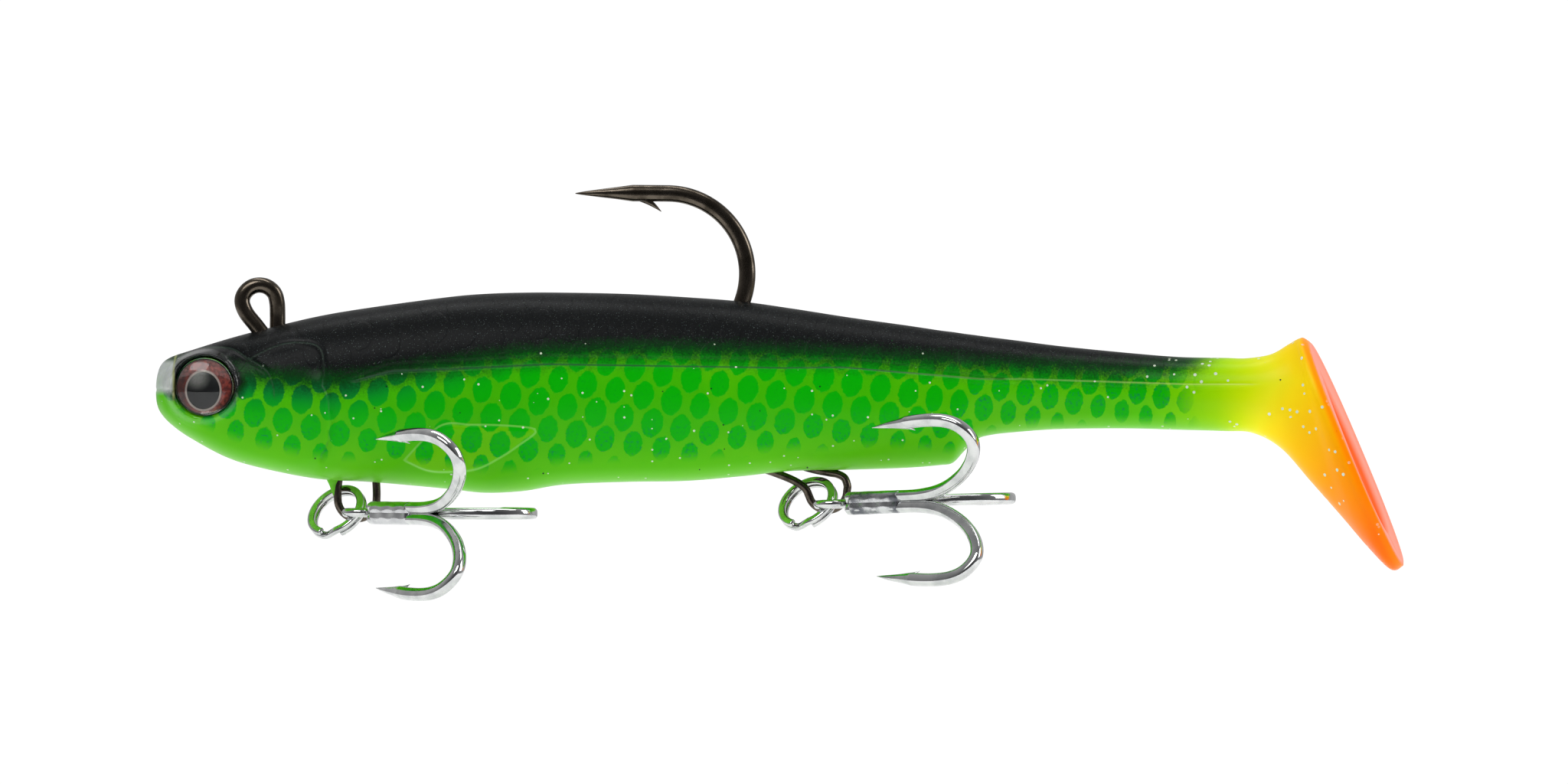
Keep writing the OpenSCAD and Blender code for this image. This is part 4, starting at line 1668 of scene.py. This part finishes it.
@dataclass
class Treble:
    """A treble hook: three forged hooks brazed round one shank, with a closed eye.

    Attributes:
        rig: front or rear.
        yaw: how far the shank points away from straight aft, towards the left flank.
        tilt: how far its bends are lifted above the level, in degrees.
        wire: wire radius.
        eye_r: mean radius of the eye.
        eye_wire: wire radius at the eye.
        centre_line: distance along the shank and distance from it, from braze to tip.
        barb: distance along the shank, distance from it and radius along a barb.
        bend: distance along the shank at which the bend starts.
        reach: share of the centre line's length behind that, for the hook that carries the eye and the pair.
        taper: length of the sharpened part.
        sleeve: start and end of the brazed part along the shank.
        solder: distance of the solder from the middle, between two shanks and over one.
    """

    rig: Rig
    yaw: float
    wire: float = 0.83
    eye_r: float = 2.1
    eye_wire: float = 0.7
    tilt: float = 0.0
    centre_line: tuple[tuple[float, float], ...] = (
        (12.0, 0.97), (13.8, 0.97), (16.2, 1.03), (18.6, 1.35), (21.0, 2.1), (23.2, 3.2), (25.4, 4.7), (27.2, 6.5),
        (28.3, 8.3), (28.65, 10.0), (28.05, 11.6), (26.7, 12.9), (24.9, 13.6), (22.6, 13.85), (20.0, 13.8),
        (17.3, 13.55), (14.4, 13.3), (11.6, 12.95))
    barb: tuple[tuple[float, float, float], ...] = (
        (16.4, 13.0, 0.24), (17.6, 12.85, 0.3), (18.4, 12.62, 0.2), (19.1, 12.22, 0.04))
    bend: float = 14.0
    reach: tuple[float, float] = (0.86, 1.0)
    taper: float = 6.2
    sleeve: tuple[float, float] = (3.0, 13.0)
    solder: tuple[float, float] = (1.36, 1.87)

    def axes(self) -> tuple[Array, Array, Array]:
        """Finds the treble's own directions.

        Returns:
            Directions along the shank, level across it and up.
        """
        turn, lift = math.radians(self.yaw), math.radians(self.tilt)
        along = np.array([math.cos(turn) * math.cos(lift), -math.sin(turn) * math.cos(lift), math.sin(lift)])
        level = np.array([math.sin(turn), math.cos(turn), 0])
        return along, level, np.cross(along, level)

    def hook(self, index: int, start: float) -> tuple[Wire, Wire]:
        """One hook and its barb.

        Args:
            index: 0 for the hook that carries the eye, 1 and 2 for the pair.
            start: where its shank starts.

        Returns:
            The hook's wire and the barb's.
        """
        centre, _ = joint_frame(f"{self.rig.value}_treble_swing")
        along, level, up = self.axes()
        roll = math.radians(120 * index)
        out = math.cos(roll) * level + math.sin(roll) * up
        across = np.cross(along, out)
        reach = self.reach[min(index, 1)]

        def drawn(s: float) -> float:
            """Distance along the shank after the part behind the braze is shortened."""
            return self.bend + (s - self.bend) * reach if s > self.bend else s

        first, apart = self.centre_line[0]
        shank = [(start, apart), ((start + first) / 2, apart)]
        flat = smooth_path([(drawn(s), 0.0, r) for s, r in (*shank, *self.centre_line)], 0.16)
        run = np.concatenate([[0], np.cumsum(np.linalg.norm(np.diff(flat, axis=0), axis=1))])
        left = run[-1] - run
        radius = self.wire * np.clip(left / self.taper, 0.03, 1) ** 0.75
        forged = ease((flat[:, 0] - self.bend) / 4.0) * ease((left - 3.5) / 3.0)
        path = centre + flat[:, :1] * along + flat[:, 2:] * out
        body = Wire(path, radius * (1 + 0.13 * forged), radius * (1 + 0.06 * forged), tuple(across), 2.8, 28)
        spur = smooth_path([(drawn(s), 0.0, r, w) for s, r, w in self.barb], 0.1)
        path = centre + spur[:, :1] * along + spur[:, 2:3] * out
        barb = Wire(path, spur[:, 3], np.minimum(spur[:, 3], 0.3), tuple(across), 2.4, 16)
        return body, barb

    def braze(self, name: str) -> bpy.types.Object:
        """Makes the solder drawn in between the three shanks, chamfered ahead and hollow behind.

        Args:
            name: the piece's name.

        Returns:
            The new object.
        """
        centre, _ = joint_frame(f"{self.rig.value}_treble_swing")
        along, level, up = self.axes()
        a = np.linspace(0, 2 * np.pi, 96, endpoint=False)
        lobes = 0.5 + 0.5 * np.cos(3 * a)
        start, end = self.sleeve
        between, over = self.solder
        rings = []
        for s in np.concatenate([np.linspace(start, start + 1.2, 9), np.arange(start + 1.4, end - 1.0, 0.35),
                                 np.linspace(end - 1.0, end, 9)]):
            front, rear = ease(np.array((s - start) / 1.1)), ease(np.array((end - s) / 0.9))
            valley = between + 0.10 * math.sin(2.1 * s) * front * rear
            r = (valley + (over - valley) * lobes**0.75) * (0.55 + 0.45 * front)
            r = r * (1 - (1 - rear) * (0.62 - 0.55 * lobes))
            rings.append(centre + s * along + r[:, None] * (np.cos(a)[:, None] * level + np.sin(a)[:, None] * up))
        return make_object(name, np.concatenate(rings), tube_faces(len(rings), len(a)))

    def build(self, materials: Materials) -> list[bpy.types.Object]:
        """Makes the eye, the three hooks with their barbs, and the solder.

        Args:
            materials: the shared finishes.

        Returns:
            The pieces made.
        """
        rig = self.rig.value
        centre, _ = joint_frame(f"{rig}_treble_swing")
        along, level, _ = self.axes()
        t = np.radians(np.arange(0, 360, 5.0))
        loop = centre + self.eye_r * (np.cos(t)[:, None] * along + np.sin(t)[:, None] * level)
        eye = Wire(loop, self.eye_wire, self.eye_wire, (0, 0, 1), 2.0, 24, True)
        pieces = [(eye.build(f"{rig}_treble_eye"), "eye_hook")]
        for index, start in enumerate((self.eye_r - 0.2, self.sleeve[0] + 0.3, self.sleeve[0] + 0.3)):
            body, barb = self.hook(index, start)
            node = "eye_hook" if index == 0 else "double_hook"
            pieces.append((body.build(f"{rig}_treble_hook_{index + 1}"), node))
            pieces.append((barb.build(f"{rig}_treble_barb_{index + 1}"), node))
        pieces.append((self.braze(f"{rig}_treble_solder"), "braze"))
        for piece, node in pieces:
            materials.dress(piece, Finish.SOLDER if node == "braze" else Finish.BRIGHT_WIRE)
            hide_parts(f"{rig}_treble_{node}")
            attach(piece, f"{rig}_treble")
        return [piece for piece, _ in pieces]


# ---- the studio ----------------------------------------------------------------------


@dataclass(frozen=True)
class SoftBox:
    """A square soft light that points at the lure.

    Attributes:
        name: its name.
        place: where it stands, in metres from the lure's middle.
        size: its width and height.
        power: its power in watts.
    """

    name: str
    place: tuple[float, float, float]
    size: tuple[float, float]
    power: float

    def build(self, target: Vector) -> None:
        """Makes the light.

        Args:
            target: what it points at.
        """
        data = bpy.data.lights.new(self.name, "AREA")
        data.shape, data.size, data.size_y = "RECTANGLE", self.size[0], self.size[1]
        data.energy = self.power
        lamp = bpy.data.objects.new(self.name, data)
        lamp.location = target + Vector(self.place)
        lamp.rotation_euler = (target - lamp.location).to_track_quat("-Z", "Y").to_euler()
        bpy.context.scene.collection.objects.link(lamp)


@dataclass
class Studio:
    """Camera, lights, pale floor and surroundings.

    Attributes:
        middle: what the camera looks at.
        distance: the camera's distance, in metres.
        sensor: width of the camera's sensor, in its own millimetres.
        view_width: width of the view at the lure, in metres.
        floor_drop: the floor's height, in metres.
        floor_half: half its width, in metres.
        boxes: the lights.
    """

    middle: tuple[float, float, float] = (0.0799, 0.0, -0.01365)
    distance: float = 1.5
    sensor: float = 36.0
    view_width: float = 0.2389
    floor_drop: float = -0.09
    floor_half: float = 0.36
    boxes: tuple[SoftBox, ...] = (
        SoftBox("key", (-0.35, -0.75, 0.8), (0.7, 0.4), 4.2),
        SoftBox("fill", (0.95, -0.26, 0.38), (0.4, 0.7), 4.4),
        SoftBox("over", (0.05, 0.05, 0.9), (1.0, 0.2), 2.8),
    )

    def camera(self) -> None:
        """A long lens that looks straight at the left flank."""
        data = bpy.data.cameras.new("camera")
        data.sensor_width = self.sensor
        data.lens = self.sensor * self.distance / self.view_width
        camera = bpy.data.objects.new("camera", data)
        camera.location = Vector(self.middle) + Vector((0, -self.distance, 0))
        camera.rotation_euler = (math.pi / 2, 0, 0)
        bpy.context.scene.collection.objects.link(camera)
        bpy.context.scene.camera = camera

    def surroundings(self) -> None:
        """Pale all round, dimmer behind the camera so that bright metal has contrast."""
        world = bpy.data.worlds.new("studio")
        bpy.context.scene.world = world
        world.use_nodes = True
        tree = world.node_tree
        where = tree.nodes.new("ShaderNodeTexCoord")
        parts = tree.nodes.new("ShaderNodeSeparateXYZ")
        bar = tree.nodes.new("ShaderNodeValToRGB")
        share = tree.nodes.new("ShaderNodeMapRange")
        share.inputs["From Min"].default_value = -1.0
        bar.color_ramp.elements[0].color = (0.06, 0.06, 0.064, 1)
        bar.color_ramp.elements[1].position = 0.8
        bar.color_ramp.elements[1].color = (0.5, 0.5, 0.5, 1)
        middle = bar.color_ramp.elements.new(0.42)
        middle.color = (0.28, 0.28, 0.285, 1)
        seen = tree.nodes.new("ShaderNodeLightPath")
        choice = tree.nodes.new("ShaderNodeMix")
        choice.data_type = "RGBA"
        choice.inputs[7].default_value = (1.0, 1.0, 1.0, 1)
        tree.links.new(where.outputs["Generated"], parts.inputs[0])
        tree.links.new(parts.outputs[1], share.inputs["Value"])
        tree.links.new(share.outputs["Result"], bar.inputs[0])
        tree.links.new(seen.outputs["Is Camera Ray"], choice.inputs[0])
        tree.links.new(bar.outputs[0], choice.inputs[6])
        tree.links.new(choice.outputs[2], tree.nodes["Background"].inputs["Color"])
        tree.nodes["Background"].inputs["Strength"].default_value = 1.05

    def floor(self) -> None:
        """A plain pale floor well below the lure."""
        half = self.floor_half
        corners = np.array([(-half, -half, 0), (half, -half, 0), (half, half, 0), (-half, half, 0)]) / MM
        floor = make_object("floor", corners + np.array([0, 0, self.floor_drop]) / MM, [[0, 1, 2, 3]])
        g = Graph("pale_floor")
        tint = g.noise(g.place(), 0.01, 2)
        g.base(g.mix(tint, (250, 250, 250), (246, 247, 248)))
        g.fix(Roughness=0.7, Emission_Color=(1, 1, 1, 1), Emission_Strength=0.3)
        floor.data.materials.append(g.material)

    def build(self) -> None:
        """Makes the whole studio."""
        bpy.context.scene.view_settings.view_transform = "Standard"
        self.camera()
        self.surroundings()
        self.floor()
        for box in self.boxes:
            box.build(Vector(self.middle))


def report(pieces: list[bpy.types.Object]) -> None:
    """Logs each piece with its size.

    Args:
        pieces: the pieces to log.
    """
    for piece in pieces:
        size = ", ".join(f"{value / MM:.1f}" for value in piece.dimensions)
        LOG.info("%s: %d points, %s mm", piece.name, len(piece.data.vertices), size)


def main() -> None:
    """Builds the studio and every sub-assembly in order."""
    logging.basicConfig(level=logging.INFO, format="%(name)s: %(message)s")
    Studio().build()
    materials = Materials()
    report(SoftBody().build(materials))
    report(EyePair().build(materials))
    report(MainHook().build(materials))
    for treble in (Treble(Rig.FRONT, 48.0), Treble(Rig.REAR, 32.0, tilt=2.2, reach=(0.75, 0.97))):
        report([Hanger(treble.rig).build(materials), SplitRing(treble.rig).build(materials)])
        report(treble.build(materials))
    materials.dress(frame["nodes"]["lead_head"], Finish.LEAD)


if __name__ == "__main__":
    main()
